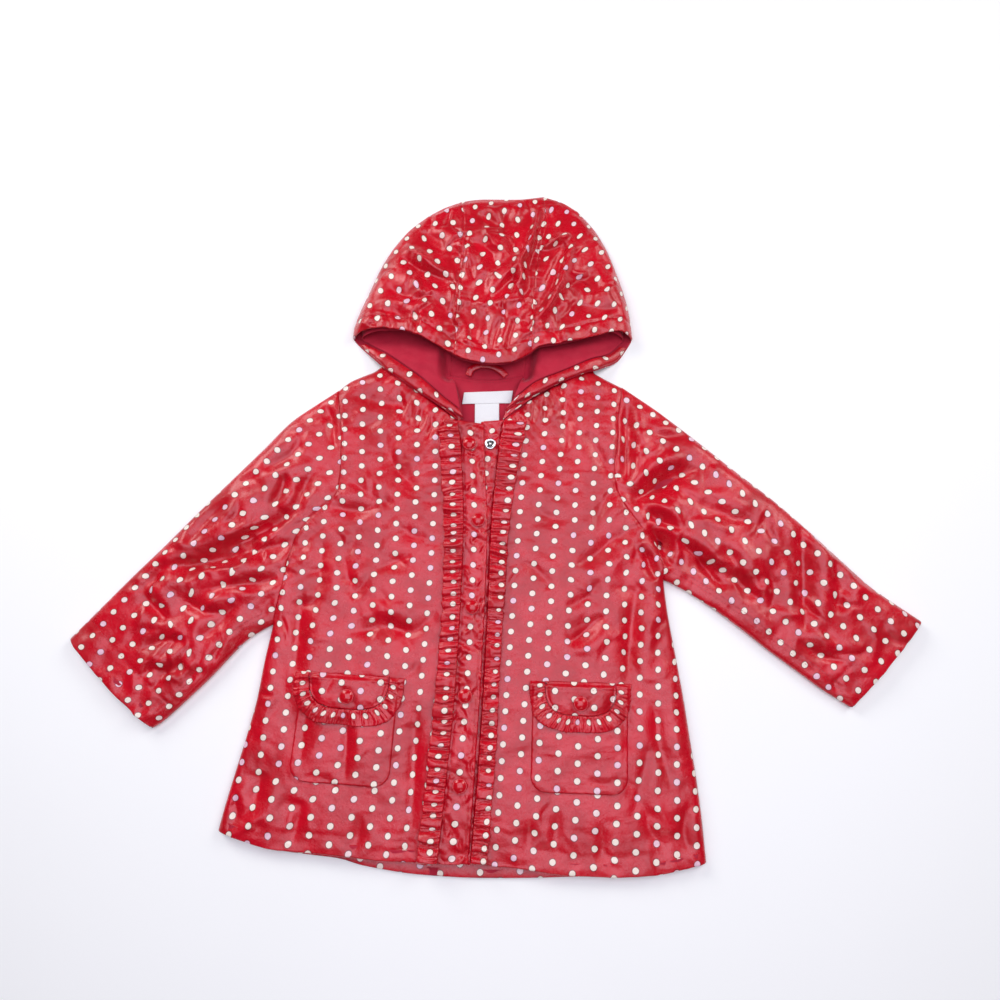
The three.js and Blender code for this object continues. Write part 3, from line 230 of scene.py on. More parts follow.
# The dots' lattice on each panel: centre of the panel's own coordinates and the terms 1, y, y2, (y3), x, xy, (xy2), x2, (x2y), (x3), in mm.
DOT_DX, DOT_DY = 17.7, 14.9
LATTICE = {
    "front_right": ((-132.4, 62.0), 3, [22.43, -3.99, 1.59, 0.21, 99.29, 0.07, 0.49, -0.38, -5.25, 7.24], [16.21, 105.32, 0.46, -0.4, 1.44, 0.64, 0.11, -1.59, -2.98, 3.52]),
    "front_left": ((79.8, 43.8), 3, [16.7, -7.78, -0.09, -0.05, 101.25, 2.14, -0.08, 2.58, 2.85, 3.93], [19.22, 101.5, 0.55, -0.02, 4.8, -2.74, -0.24, -0.31, 0.95, -1.74]),
    "sleeve_right": ((-254.7, 116.0), 3, [-38.67, -66.36, -0.36, -0.35, 85.24, -2.51, -0.29, -2.04, -1.37, -1.95], [31.79, 86.89, -0.06, 1.12, 52.15, 0.56, 0.49, -1.11, 0.67, 1.28]),
    "sleeve_left": ((233.9, 115.5), 2, [-20.95, 77.46, 1.32, 64.88, -3.16, 3.38], [4.35, 61.81, -1.67, -79.8, 0.74, 1.71]),
    "hood_centre": ((-3.9, 381.3), 2, [-12.52, -14.19, -2.14, 115.84, -1.12, 1.23], [14.83, 94.02, -4.4, 11.28, 0.37, -0.72]),
    "hood_side_right": ((-79.9, 414.9), 2, [39.36, 48.2, -0.69, 94.22, -0.87, -1.43], [18.36, 76.26, 1.74, -44.11, 1.52, 0.69]),
    "hood_side_left": ((66.1, 400.9), 2, [-8.22, -70.11, 0.65, 105.58, 0.12, 0.78], [-12.8, 67.54, 0.23, 51.25, 0.68, -0.3]),
    "pocket_right": ((-142.1, -73.0), 2, [20.52, -12.09, 1.83, 100.15, 3.99, 1.63], [-11.9, 100.02, -2.44, 5.83, 3.26, -0.58]),
    "pocket_left": ((70.1, -78.6), 2, [-35.25, -4.66, 1.84, 99.75, 5.25, -2.62], [-11.56, 98.99, 3.44, 5.98, 2.28, -6.6]),
}


# ---------- curves, patches, noise ----------
def lerp(a, b, t):
    return a + (b - a) * t


def smooth(t):
    c = np.clip(t, 0, 1)
    return c * c * (3 - 2 * c)


def rise(d, w):
    return np.sqrt(np.maximum(0, 1 - (1 - np.minimum(d / w, 1)) ** 2))


class Line:
    """A function of 0 to 1 in the plane, with the points of its polyline."""

    def __init__(self, f, pts):
        self.f, self.pts = f, np.asarray(pts, float)

    def __call__(self, t):
        return self.f(np.asarray(t, float))


def curve(*tables):
    pts = []
    for t in tables:
        for p in t:
            if not pts or math.dist(p, pts[-1]) > 1e-6:
                pts.append(tuple(float(c) for c in p))
    dense = []
    for i in range(len(pts) - 1):
        p0, p1, p2, p3 = (np.array(pts[min(max(k, 0), len(pts) - 1)]) for k in (i - 1, i, i + 1, i + 2))
        for k in range(8):
            t, m1, m2 = k / 8, 0.35 * (p2 - p0), 0.35 * (p3 - p1)
            dense.append((2 * t**3 - 3 * t * t + 1) * p1 + (t**3 - 2 * t * t + t) * m1 + (-2 * t**3 + 3 * t * t) * p2 + (t**3 - t * t) * m2)
    dense.append(np.array(pts[-1]))
    dense = np.array(dense)
    run = np.concatenate([[0], np.cumsum(np.hypot(*np.diff(dense, axis=0).T))])
    return Line(lambda t: np.stack([np.interp(np.clip(t, 0, 1) * run[-1], run, dense[:, k]) for k in (0, 1)], -1), dense)


def back2front(c):
    return Line(lambda t: c(1 - t), c.pts[::-1])


def aside(c, by):
    def f(t):
        a, b, p = c(np.maximum(t - 0.01, 0)), c(np.minimum(t + 0.01, 1)), c(t)
        d = b - a
        d = d / np.maximum(np.hypot(d[..., 0], d[..., 1]), 1e-9)[..., None]
        return np.stack([p[..., 0] - by * d[..., 1], p[..., 1] + by * d[..., 0]], -1)

    return Line(f, f(np.linspace(0, 1, 41)))


def moved(c, dx=0.0, dy=0.0):
    off = np.array([dx, dy])
    return Line(lambda t: c(t) + off, c.pts + off)


def joined(a, b, at):
    """a up to at, then b."""
    def f(t):
        return np.where((t < at)[..., None], a(t / at), b((t - at) / (1 - at)))

    return Line(f, np.concatenate([a.pts, b.pts]))


def between(c, a, b):
    return Line(lambda t: c(lerp(a, b, t)), c(np.linspace(a, b, 31)))


def nearest(P, pts):
    """Distance from points (..., 2) to a polyline, the length along it there, and the side (left of it is positive)."""
    shape = P.shape[:-1]
    X, Y = P[..., 0].ravel(), P[..., 1].ravel()
    best, at, side, run = np.full(X.shape, 1e18), np.zeros(X.shape), np.ones(X.shape), 0.0
    for (ax, ay), (bx, by) in zip(pts[:-1], pts[1:]):
        dx, dy = bx - ax, by - ay
        l2 = dx * dx + dy * dy
        if l2 < 1e-12:
            continue
        t = np.clip(((X - ax) * dx + (Y - ay) * dy) / l2, 0, 1)
        ox, oy = X - ax - t * dx, Y - ay - t * dy
        d = ox * ox + oy * oy
        m = d < best
        best = np.where(m, d, best)
        l = math.sqrt(l2)
        at = np.where(m, run + t * l, at)
        side = np.where(m, np.sign(dx * oy - dy * ox), side)
        run += l
    return np.sqrt(best).reshape(shape), at.reshape(shape), side.reshape(shape)


def distance(P, *curves):
    return np.min([nearest(P, c.pts)[0] for c in curves], axis=0)


def patch(south, north, west, east, us, vs):
    us, vs = np.asarray(us, float), np.asarray(vs, float)
    S, N, W, E = south(us)[None], north(us)[None], west(vs)[:, None], east(vs)[:, None]
    u, v = us[None, :, None], vs[:, None, None]
    sw, se, nw, ne = (np.asarray(c(np.array([k])))[0] for c, k in ((south, 0), (south, 1), (north, 0), (north, 1)))
    return lerp(S, N, v) + lerp(W, E, u) - lerp(lerp(sw, se, u), lerp(nw, ne, u), v)


def noise(x, y, size, seed):
    """Smooth noise from -1 to 1."""
    T = np.random.default_rng(seed).random((64, 64)) * 2 - 1
    X, Y = x / size + 17.3, y / size + 41.7
    i, j = np.floor(X).astype(int), np.floor(Y).astype(int)
    fx, fy = X - i, Y - j
    fx, fy = fx**3 * (fx * (fx * 6 - 15) + 10), fy**3 * (fy * (fy * 6 - 15) + 10)
    i0, i1, j0, j1 = i % 64, (i + 1) % 64, j % 64, (j + 1) % 64
    return lerp(lerp(T[i0, j0], T[i1, j0], fx), lerp(T[i0, j1], T[i1, j1], fx), fy)


def fbm(x, y, size, seed, octaves=3):
    return sum(noise(x, y, size / 2**k, seed + 31 * k) * 0.5**k for k in range(octaves))


# ---------- creases ----------
def folds(x, y):
    z = np.zeros_like(x)
    for ax, ay, bx, by, w, d in FOLDS:
        dx, dy = bx - ax, by - ay
        t = ((x - ax) * dx + (y - ay) * dy) / (dx * dx + dy * dy)
        c = np.clip(t, 0, 1)
        off = np.hypot(x - ax - c * dx, y - ay - c * dy) / w
        z -= d * np.exp(-off * off) * np.where((t > 0) & (t < 1), np.sin(np.pi * (0.15 + 0.7 * t)), 0.45)
    return z


def crease_sum(x, y, rows):
    """The height that a table of creases adds: crisp troughs that die away at their ends, with a soft ridge beside them."""
    z = np.zeros_like(x)
    for pts, w, d, lip in rows:
        line = curve(pts).pts[::2] if len(pts) > 2 else np.array(pts, float)
        line = np.vstack([line, [pts[-1]]])
        lo, hi = line.min(0) - 4 * w, line.max(0) + 4 * w
        m = (x > lo[0]) & (x < hi[0]) & (y > lo[1]) & (y < hi[1])
        if not m.any():
            continue
        total = np.hypot(*np.diff(line, axis=0).T).sum()
        off, at, side = nearest(np.stack([x[m], y[m]], -1), line)
        t = at / total
        taper = np.sin(np.pi * np.clip(t, 0, 1)) ** 0.75
        q = off * side / (w * (0.55 + 0.45 * taper))
        dip = np.exp(-1.7 * (np.sqrt(q * q + 0.16) - 0.4))
        z[m] -= d * taper * (dip - lip * np.exp(-(((q - 2.0) / 1.1) ** 2)))
    return z


def scattered(n, seed, box, length, width, depth, lean, spread, lip=0.5):
    """Rows for small creases placed by a fixed seed: lean and spread are the direction and how far it strays, in degrees."""
    r = np.random.default_rng(seed)
    rows = []
    for _ in range(n):
        x, y = r.uniform(box[0], box[2]), r.uniform(box[1], box[3])
        l, w, d = r.uniform(*length), r.uniform(*width), r.uniform(*depth)
        a = math.radians(lean + spread * r.normal())
        bend = r.uniform(-0.25, 0.25) * l
        c, s = math.cos(a), math.sin(a)
        rows.append(([(x - c * l / 2, y - s * l / 2), (x - s * bend, y + c * bend), (x + c * l / 2, y + s * l / 2)], w, d * (1 if r.random() < 0.6 else -0.8), lip))
    return rows


BODY_SMALL = (
    scattered(150, 11, (-250, -170, -40, 290), (14, 46), (2.2, 5.0), (0.25, 0.75), 20, 48)
    + scattered(140, 12, (-10, -175, 180, 290), (14, 46), (2.2, 5.0), (0.25, 0.75), 150, 48)
    + scattered(90, 13, (-400, -50, -160, 270), (14, 50), (2.5, 5.5), (0.5, 1.3), 40, 36)
    + scattered(90, 14, (120, -40, 395, 270), (14, 50), (2.5, 5.5), (0.5, 1.3), -40, 36)
)
HOOD_SMALL = scattered(110, 21, (-148, 300, 134, 490), (14, 44), (2.0, 4.2), (0.5, 1.3), 75, 42)
BODY_CREASES = CREASES_FRONT_RIGHT + CREASES_FRONT_LEFT + CREASES_SLEEVE_RIGHT + CREASES_SLEEVE_LEFT


def sleeve_share(x):
    """0 on the body, 1 on the sleeves, where the cloth is more crumpled."""
    return smooth((np.abs(x + 26) - 132) / 60)


def body_field(x, y):
    k = sleeve_share(x)
    big, small = crease_sum(x, y, BODY_CREASES), crease_sum(x, y, BODY_SMALL)
    return (2.55 + 0.6 * k) * big + (1.35 + 0.7 * k) * small + (0.7 + 0.6 * k) * fbm(x, y, 34, 3, 3) + (0.1 + 0.35 * k) * ridged(x, y, 19, 8) + 0.2 * ridged(x * 0.3, y, 8, 61)


def hood_field(x, y):
    wide = [(p, 1.3 * w, d, lip) for p, w, d, lip in CREASES_HOOD]
    f = 2.6 + 4.4 * crease_sum(x, y, wide) + 2.2 * crease_sum(x, y, HOOD_SMALL) + 1.8 * fbm(x, y, 38, 5, 3) + 0.5 * ridged(x, y * 0.7, 21, 9)
    return np.where(f < -0.4, -0.4 - 1.4 * np.tanh((-0.4 - f) / 1.4), f)


def ridged(x, y, size, seed):
    """Noise with crisp ridges."""
    return 0.5 - np.abs(noise(x, y, size, seed)) * 2 + 0.5 * (0.5 - np.abs(noise(x, y, size * 0.55, seed + 3)) * 2)


def seam_at(P, pts, groove, width, pucker, period, reach, seed, phase=0.0):
    """A stitched seam: a groove, and short puckers across it that die away from it."""
    d, at, side = nearest(P, pts)
    wave = noise(at, np.zeros_like(at) + seed, period, seed) + 0.6 * noise(at, np.zeros_like(at), period * 0.45, seed + 5)
    return -groove * np.exp(-((d / width) ** 2)) + pucker * wave * np.exp(-d / reach) * (1 - np.exp(-((d / (width * 0.8)) ** 2)) * 0.6)


# ---------- meshes ----------
MATERIALS, GRIDS = {}, {}


def mesh_object(name, verts, tris, uvs, mats, slots, smooth_faces=True):
    """verts in mm in the laid plane, one UV in metres per corner."""
    me = bpy.data.meshes.new(name)
    me.vertices.add(len(verts))
    me.vertices.foreach_set("co", ((verts + SHIFT) / 1000).astype(np.float32).ravel())
    n = len(tris)
    me.loops.add(3 * n)
    me.loops.foreach_set("vertex_index", tris.astype(np.int32).ravel())
    me.polygons.add(n)
    me.polygons.foreach_set("loop_start", np.arange(0, 3 * n, 3, dtype=np.int32))
    me.polygons.foreach_set("material_index", slots.astype(np.int32))
    me.polygons.foreach_set("use_smooth", np.full(n, smooth_faces))
    uv = me.uv_layers.new(name="Cloth")
    uv.data.foreach_set("uv", uvs.astype(np.float32).ravel())
    me.update(calc_edges=True)
    me.validate()
    for m in mats:
        me.materials.append(MATERIALS[m])
    ob = bpy.data.objects.new(name, me)
    bpy.context.scene.collection.objects.link(ob)
    return ob


def grid_tris(nv, nu, offset, flip, V):
    a = (np.arange(nv - 1)[:, None] * nu + np.arange(nu - 1)[None]).ravel() + offset
    b, c, d = a + 1, a + nu + 1, a + nu
    short = (np.linalg.norm(V[a] - V[c], axis=1) <= np.linalg.norm(V[b] - V[d], axis=1))[:, None]
    t1 = np.where(short, np.stack([a, b, c], 1), np.stack([a, b, d], 1))
    t2 = np.where(short, np.stack([a, c, d], 1), np.stack([b, c, d], 1))
    t = np.concatenate([t1, t2])
    return t[:, ::-1] if flip else t


def wall(name, grids, thickness, mats=("shell", "inside"), bulge=0.35, up=True, third=None):
    """Joins grids of points, (points, uv, flip) each, into one sheet with shared edges and gives it a wall on its inner
    side, with rounded rims. By default the inner side takes the inside material: the lining darkened by painted shade.
    """
    GRIDS[name] = [g[0] for g in grids]
    V = np.concatenate([g[0].reshape(-1, 3) for g in grids])
    UV = np.concatenate([g[1].reshape(-1, 2) for g in grids])
    tris, offset = [], 0
    for P, uv, flip in grids:
        tris.append(grid_tris(P.shape[0], P.shape[1], offset, flip, V))
        offset += P.shape[0] * P.shape[1]
    T0 = np.concatenate(tris)
    _, first, inv = np.unique(np.round(V * 60).astype(np.int64), axis=0, return_index=True, return_inverse=True)
    inv = inv.ravel()
    verts, T = V[first], inv[T0]
    keep = (T[:, 0] != T[:, 1]) & (T[:, 1] != T[:, 2]) & (T[:, 0] != T[:, 2])
    T, T0 = T[keep], T0[keep]
    P = grids[0][0]
    if up:
        mid = (P.shape[0] // 2, P.shape[1] // 2)
        e1, e2 = P[mid[0], mid[1] + 1] - P[mid], P[mid[0] + 1, mid[1]] - P[mid]
        if np.cross(e1, e2)[2] * (-1 if grids[0][2] else 1) < 0:
            T, T0 = T[:, ::-1], T0[:, ::-1]
    fn = np.cross(verts[T[:, 1]] - verts[T[:, 0]], verts[T[:, 2]] - verts[T[:, 0]])
    N = np.zeros_like(verts)
    for k in range(3):
        np.add.at(N, T[:, k], fn)
    N /= np.maximum(np.linalg.norm(N, axis=1), 1e-12)[:, None]
    n = len(verts)
    E = np.concatenate([T[:, [0, 1]], T[:, [1, 2]], T[:, [2, 0]]])
    code, back = E[:, 0].astype(np.int64) * n + E[:, 1], E[:, 1].astype(np.int64) * n + E[:, 0]
    B = E[~np.isin(code, back)]
    out = np.zeros_like(verts)
    edge = verts[B[:, 1]] - verts[B[:, 0]]
    away = np.cross(edge, N[B[:, 0]] + N[B[:, 1]])
    for k in range(2):
        np.add.at(out, B[:, k], away)
    out /= np.maximum(np.linalg.norm(out, axis=1), 1e-12)[:, None]
    inner = verts - N * thickness
    rim = np.unique(B)
    where = np.full(n, -1)
    where[rim] = np.arange(len(rim)) + 2 * n
    middle = (verts[rim] + inner[rim]) / 2 + out[rim] * thickness * bulge
    a, b = B[:, 0], B[:, 1]
    ma, mb = where[a], where[b]
    rims = np.concatenate([np.stack([b, a, ma], 1), np.stack([b, ma, mb], 1), np.stack([mb, ma, a + n], 1), np.stack([mb, a + n, b + n], 1)])
    uvv = UV[first]
    uvall = np.concatenate([uvv, uvv, uvv[rim]])
    allT = np.concatenate([T, T[:, ::-1] + n, rims])
    uvs = np.concatenate([UV[T0].reshape(-1, 2), UV[T0[:, ::-1]].reshape(-1, 2), uvall[rims].reshape(-1, 2)])
    slots = np.concatenate([np.zeros(len(T)), np.ones(len(T)), np.zeros(len(rims))])
    every = np.concatenate([verts, inner, middle])
    if third:
        slots = np.where((slots == 0) & third(every[allT].mean(1)), 2, slots)
    return mesh_object(name, every, allT, uvs, mats, slots)


def lattice_uv(name, P):
    """The dots' coordinates in metres for points (..., 3): the panel's chart, followed over the creases."""
    (cx, cy), order, cu, cv = LATTICE[name]
    ex, ey = stretch(P)
    x, y = (P[..., 0] + ex - cx) / 100, (P[..., 1] + ey - cy) / 100
    terms = [x**p * y**q for p in range(order + 1) for q in range(order + 1 - p)]
    return np.stack([sum(c * t for c, t in zip(cs, terms)) for cs in (cu, cv)], -1) / 1000


def stretch(P):
    """How far the cloth's own length runs ahead of its plan along the rows and columns of a grid, without its even part."""
    e = np.zeros(P.shape[:-1] + (2,))
    for axis in (0, 1):
        D = np.diff(P, axis=axis)
        plan, true = np.hypot(D[..., 0], D[..., 1]), np.linalg.norm(D, axis=-1)
        way = D[..., :2] / np.maximum(plan, 1e-6)[..., None]
        extra = np.minimum(true - plan, 1.5 * plan + 0.3)
        cum = np.concatenate([np.zeros_like(np.take(extra, [0], axis)), np.cumsum(extra, axis)], axis)
        run = np.concatenate([np.zeros_like(np.take(plan, [0], axis)), np.cumsum(plan, axis)], axis)
        n = P.shape[axis]
        lo, hi = int(n * 0.14), int(n * 0.86)
        a, b = np.take(cum, [lo], axis), np.take(cum, [hi], axis)
        ra, rb = np.take(run, [lo], axis), np.take(run, [hi], axis)
        off = cum - (a + (b - a) * (run - ra) / np.maximum(rb - ra, 1e-6))
        way = np.concatenate([way, np.take(way, [-1], axis)], axis)
        e += way * off[..., None]
    return e[..., 0], e[..., 1]


def strip_uv(P, offset=(0.0, 0.0), full=1.0, swap=False):
    """Plain coordinates in metres along the rows and columns of a strip; full stretches the way along it, for gathered cloth."""
    D0 = np.linalg.norm(np.diff(P, axis=1), axis=-1).mean(0)
    D1 = np.linalg.norm(np.diff(P, axis=0), axis=-1).mean(1)
    u, v = np.concatenate([[0], np.cumsum(D0)]), np.concatenate([[0], np.cumsum(D1)]) * full
    U, Vv = np.meshgrid(u + offset[0], v + offset[1])
    return np.stack([Vv, U] if swap else [U, Vv], -1) / 1000


def normals_of(P):
    du, dv = np.gradient(P, axis=1), np.gradient(P, axis=0)
    N = np.cross(du, dv)
    return N / np.maximum(np.linalg.norm(N, axis=-1), 1e-12)[..., None]


def curled(P, r, inward, end=0, sign=1.0):
    """Adds rows that turn a hem under at row 0 (end=0) or at the last row: a round edge of radius r, then inward mm back."""
    Q = P if end == 0 else P[::-1]
    N = normals_of(Q)[0] * sign
    if N[..., 2].mean() < 0 and sign > 0 and abs(N[..., 2].mean()) > 0.5:
        N = -N
    o = Q[0] - Q[1]
    o -= (o * N).sum(-1, keepdims=True) * N
    o /= np.maximum(np.linalg.norm(o, axis=-1), 1e-9)[:, None]
    rows = [Q[0] - N * 2 * r - o * inward * k for k in (1.0, 0.5)]
    rows += [Q[0] - N * r * (1 - math.cos(a)) + o * r * math.sin(a) for a in np.radians([180, 140, 105, 75, 48, 22])]
    out = np.concatenate([np.array(rows), Q])
    return out if end == 0 else out[::-1]


def placed(P2, z):
    return np.concatenate([P2, np.asarray(z)[..., None]], -1)


# ---------- materials ----------
class Tree:
    """Small helpers over a material's nodes."""

    def __init__(self, name):
        self.mat = bpy.data.materials.new(name)
        self.mat.use_nodes = True
        self.nt = self.mat.node_tree
        self.bsdf = self.nt.nodes["Principled BSDF"]

    def node(self, kind, **props):
        n = self.nt.nodes.new(kind)
        for k, v in props.items():
            setattr(n, k, v)
        return n

    def put(self, socket, value):
        if isinstance(value, bpy.types.NodeSocket):
            self.nt.links.new(value, socket)
        else:
            socket.default_value = value

    def math(self, op, *args, clamp=False):
        n = self.node("ShaderNodeMath", operation=op, use_clamp=clamp)
        for s, a in zip(n.inputs, args):
            self.put(s, a)
        return n.outputs[0]

    def vmath(self, op, *args):
        n = self.node("ShaderNodeVectorMath", operation=op)
        for s, a in zip(n.inputs, args):
            self.put(s, a)
        return n.outputs["Value"] if op in ("LENGTH", "DISTANCE", "DOT_PRODUCT") else n.outputs[0]

    def combine(self, x, y, z=0.0):
        n = self.node("ShaderNodeCombineXYZ")
        for s, a in zip(n.inputs, (x, y, z)):
            self.put(s, a)
        return n.outputs[0]

    def map(self, value, a, b, c=0.0, d=1.0, mode="SMOOTHSTEP"):
        n = self.node("ShaderNodeMapRange", interpolation_type=mode)
        for k, v in (("Value", value), ("From Min", a), ("From Max", b), ("To Min", c), ("To Max", d)):
            self.put(n.inputs[k], v)
        return n.outputs[0]

    def mix(self, fac, a, b):
        n = self.node("ShaderNodeMix", data_type="RGBA")
        self.put(n.inputs[0], fac)
        for s, v in ((n.inputs[6], a), (n.inputs[7], b)):
            self.put(s, v if isinstance(v, bpy.types.NodeSocket) else (*v, 1.0))
        return n.outputs[2]

    def noise(self, vector, scale, detail=2.0, rough=0.5, distortion=0.0):
        n = self.node("ShaderNodeTexNoise")
        self.put(n.inputs["Vector"], vector)
        for k, v in (("Scale", scale), ("Detail", detail), ("Roughness", rough), ("Distortion", distortion)):
            n.inputs[k].default_value = v
        return n.outputs[0]

    def bump(self, height, strength, distance, normal=None):
        n = self.node("ShaderNodeBump")
        n.inputs["Strength"].default_value = strength
        n.inputs["Distance"].default_value = distance
        self.put(n.inputs["Height"], height)
        if normal is not None:
            self.put(n.inputs["Normal"], normal)
        return n.outputs[0]

    def set(self, **values):
        for k, v in values.items():
            self.put(self.bsdf.inputs[k.replace("_", " ")], v)


RED = (0.61, 0.002, 0.015)
RED_DEEP = (0.45, 0.0015, 0.009)
CREAM, CREAM_PINK = (0.88, 0.74, 0.62), (0.82, 0.50, 0.60)
CRIMSON = (0.50, 0.006, 0.032)


def weave(t, uv, pitch):
    """A plain weave: threads of both ways, over and under each other."""
    s = t.vmath("SCALE", uv)
    s.node.inputs["Scale"].default_value = 1 / pitch
    sep = t.node("ShaderNodeSeparateXYZ")
    t.put(sep.inputs[0], s)
    a = t.math("SINE", t.math("MULTIPLY", sep.outputs[0], 2 * math.pi))
    b = t.math("SINE", t.math("MULTIPLY", sep.outputs[1], 2 * math.pi))
    return t.math("MULTIPLY", a, b)


def shell_material(name, dots=True, rough=0.27):
    """Coated cotton: saturated red under a thin clear coating, printed with cream dots in staggered columns."""
    t = Tree(name)
    uv = t.node("ShaderNodeUVMap", uv_map="Cloth").outputs[0]
    pos = t.node("ShaderNodeTexCoord").outputs["Object"]
    mottle = t.noise(pos, 34.0, 3.0, 0.55)
    fine = t.noise(pos, 260.0, 2.0, 0.6)
    red = t.mix(t.map(mottle, 0.3, 0.72), RED, RED_DEEP)
    red = t.mix(t.map(fine, 0.35, 0.75, 0.0, 0.25), red, (0.66, 0.006, 0.02))
    roughness = t.math("ADD", t.map(mottle, 0.25, 0.75, rough - 0.05, rough + 0.06), t.map(fine, 0.3, 0.7, -0.02, 0.03))
    colour = red
    if dots:
        sep = t.node("ShaderNodeSeparateXYZ")
        t.put(sep.inputs[0], uv)
        u, v = sep.outputs[0], sep.outputs[1]
        px, py = 2 * DOT_DX / 1000, DOT_DY / 1000
        near, centres = [], []
        for ox, oy in ((0.0, 0.0), (px / 2, py / 2)):
            us, vs = t.math("SUBTRACT", u, ox), t.math("SUBTRACT", v, oy)
            ax = t.math("WRAP", us, px / 2, -px / 2)
            ay = t.math("WRAP", vs, py / 2, -py / 2)
            near.append(t.vmath("LENGTH", t.combine(ax, ay)))
            centres.append(t.combine(t.math("SUBTRACT", u, ax), t.math("SUBTRACT", v, ay)))
        d = t.math("MINIMUM", *near)
        first = t.math("LESS_THAN", *near)
        pick = t.node("ShaderNodeMix", data_type="VECTOR")
        t.put(pick.inputs[0], first)
        t.put(pick.inputs[4], centres[1])
        t.put(pick.inputs[5], centres[0])
        snap = t.node("ShaderNodeVectorMath", operation="SNAP")
        t.put(snap.inputs[0], t.vmath("ADD", pick.outputs[1], (0.0021, 0.0017, 0.0)))
        snap.inputs[1].default_value = (0.004, 0.004, 1.0)
        white = t.node("ShaderNodeTexWhiteNoise", noise_dimensions="2D")
        t.put(white.inputs["Vector"], snap.outputs[0])
        wobble = t.map(t.noise(pos, 900.0, 1.0), 0.3, 0.7, -0.00010, 0.00010, "LINEAR")
        d = t.math("ADD", d, wobble)
        inside = t.map(d, 0.00292, 0.00252)
        ring = t.math("MULTIPLY", t.map(d, 0.00258, 0.00295), t.map(d, 0.00362, 0.00312))
        colour = t.mix(t.math("MULTIPLY", ring, 0.82), colour, (0.10, 0.004, 0.010))
        tint = t.mix(t.map(white.outputs["Value"], 0.70, 0.97), CREAM, CREAM_PINK)
        tint = t.mix(t.map(t.noise(pos, 420.0, 2.0), 0.45, 0.8, 0.0, 0.35), tint, (0.96, 0.92, 0.86))
        colour = t.mix(inside, colour, tint)
        roughness = t.math("ADD", roughness, t.math("MULTIPLY", inside, 0.08))
    fold = t.math("ABSOLUTE", t.math("SUBTRACT", t.noise(pos, 62.0, 3.0, 0.55, 0.5), 0.5))
    n = t.bump(fold, 0.2, 0.0034)
    crinkle = t.math("ABSOLUTE", t.math("SUBTRACT", t.noise(pos, 210.0, 3.0, 0.6, 0.6), 0.5))
    n = t.bump(crinkle, 0.5, 0.0012, n)
    n = t.bump(t.noise(pos, 620.0, 2.0, 0.6), 0.16, 0.0003, n)
    n = t.bump(weave(t, uv, 0.00042), 0.22, 0.00006, n)
    t.set(Base_Color=colour, Roughness=roughness, Normal=n)
    t.bsdf.inputs["IOR"].default_value = 1.45
    t.bsdf.inputs["Specular IOR Level"].default_value = 0.5
    t.bsdf.inputs["Coat Weight"].default_value = 0.3
    t.bsdf.inputs["Coat Roughness"].default_value = 0.17
    t.bsdf.inputs["Coat IOR"].default_value = 1.45
    MATERIALS[name] = t.mat
    return t.mat


def lining_material(name, colour=CRIMSON, light=(0.56, 0.014, 0.042)):
    t = Tree(name)
    uv = t.node("ShaderNodeUVMap", uv_map="Cloth").outputs[0]
    pos = t.node("ShaderNodeTexCoord").outputs["Object"]
    c = t.mix(t.map(t.noise(pos, 48.0, 3.0, 0.55), 0.3, 0.72), colour, light)
    c = t.mix(t.map(weave(t, uv, 0.00036), -0.7, 0.9, 0.0, 0.28), c, tuple(0.55 * k for k in colour))
    n = t.bump(t.noise(pos, 190.0, 3.0, 0.6), 0.4, 0.0006)
    n = t.bump(weave(t, uv, 0.00036), 0.5, 0.00008, n)
    t.set(Base_Color=c, Roughness=t.map(t.noise(pos, 90.0), 0.3, 0.7, 0.66, 0.80), Normal=n)
    t.bsdf.inputs["Specular IOR Level"].default_value = 0.35
    t.bsdf.inputs["Sheen Weight"].default_value = 0.25
    t.bsdf.inputs["Sheen Roughness"].default_value = 0.4
    t.bsdf.inputs["Sheen Tint"].default_value = (1.0, 0.45, 0.5, 1.0)
    MATERIALS[name] = t.mat
    return t.mat


def plain_material(name, colour, rough, other, scale=300.0, bump=0.15, distance=0.0001, metallic=0.0, coat=0.0):
    t = Tree(name)
    pos = t.node("ShaderNodeTexCoord").outputs["Object"]
    f = t.noise(pos, scale, 3.0, 0.6)
    t.set(Base_Color=t.mix(t.map(f, 0.3, 0.75), colour, other), Roughness=t.map(t.noise(pos, scale * 0.4), 0.3, 0.7, rough - 0.05, rough + 0.06), Normal=t.bump(f, bump, distance))
    t.bsdf.inputs["Metallic"].default_value = metallic
    t.bsdf.inputs["Coat Weight"].default_value = coat
    t.bsdf.inputs["Coat Roughness"].default_value = 0.12
    MATERIALS[name] = t.mat
    return t.mat


shell_material("shell")
shell_material("shell_plain", dots=False)
lining_material("lining")
# inside: the lining's crimson darkened to 0.8 for the shell's inner faces, which is painted shade.
lining_material("inside", tuple(0.8 * k for k in CRIMSON))
plain_material("cap", (0.60, 0.003, 0.012), 0.2, (0.50, 0.002, 0.010), 500.0, 0.06, 0.00005, coat=0.7)
MATERIALS["cap"].node_tree.nodes["Principled BSDF"].inputs["Specular IOR Level"].default_value = 0.22
plain_material("metal", (0.82, 0.81, 0.80), 0.24, (0.66, 0.65, 0.64), 900.0, 0.10, 0.00004, metallic=1.0)
# Near-black metal for the socket's hollow, painted shade down in the hole.
plain_material("metal_painted_shade", (0.10, 0.10, 0.10), 0.45, (0.04, 0.04, 0.04), 900.0, 0.10, 0.00004, metallic=0.9)
plain_material("thread", (0.40, 0.006, 0.02), 0.55, (0.30, 0.004, 0.014), 1600.0, 0.4, 0.0001)
plain_material("thread_pale", (0.80, 0.78, 0.76), 0.6, (0.62, 0.60, 0.58), 1600.0, 0.4, 0.0001)


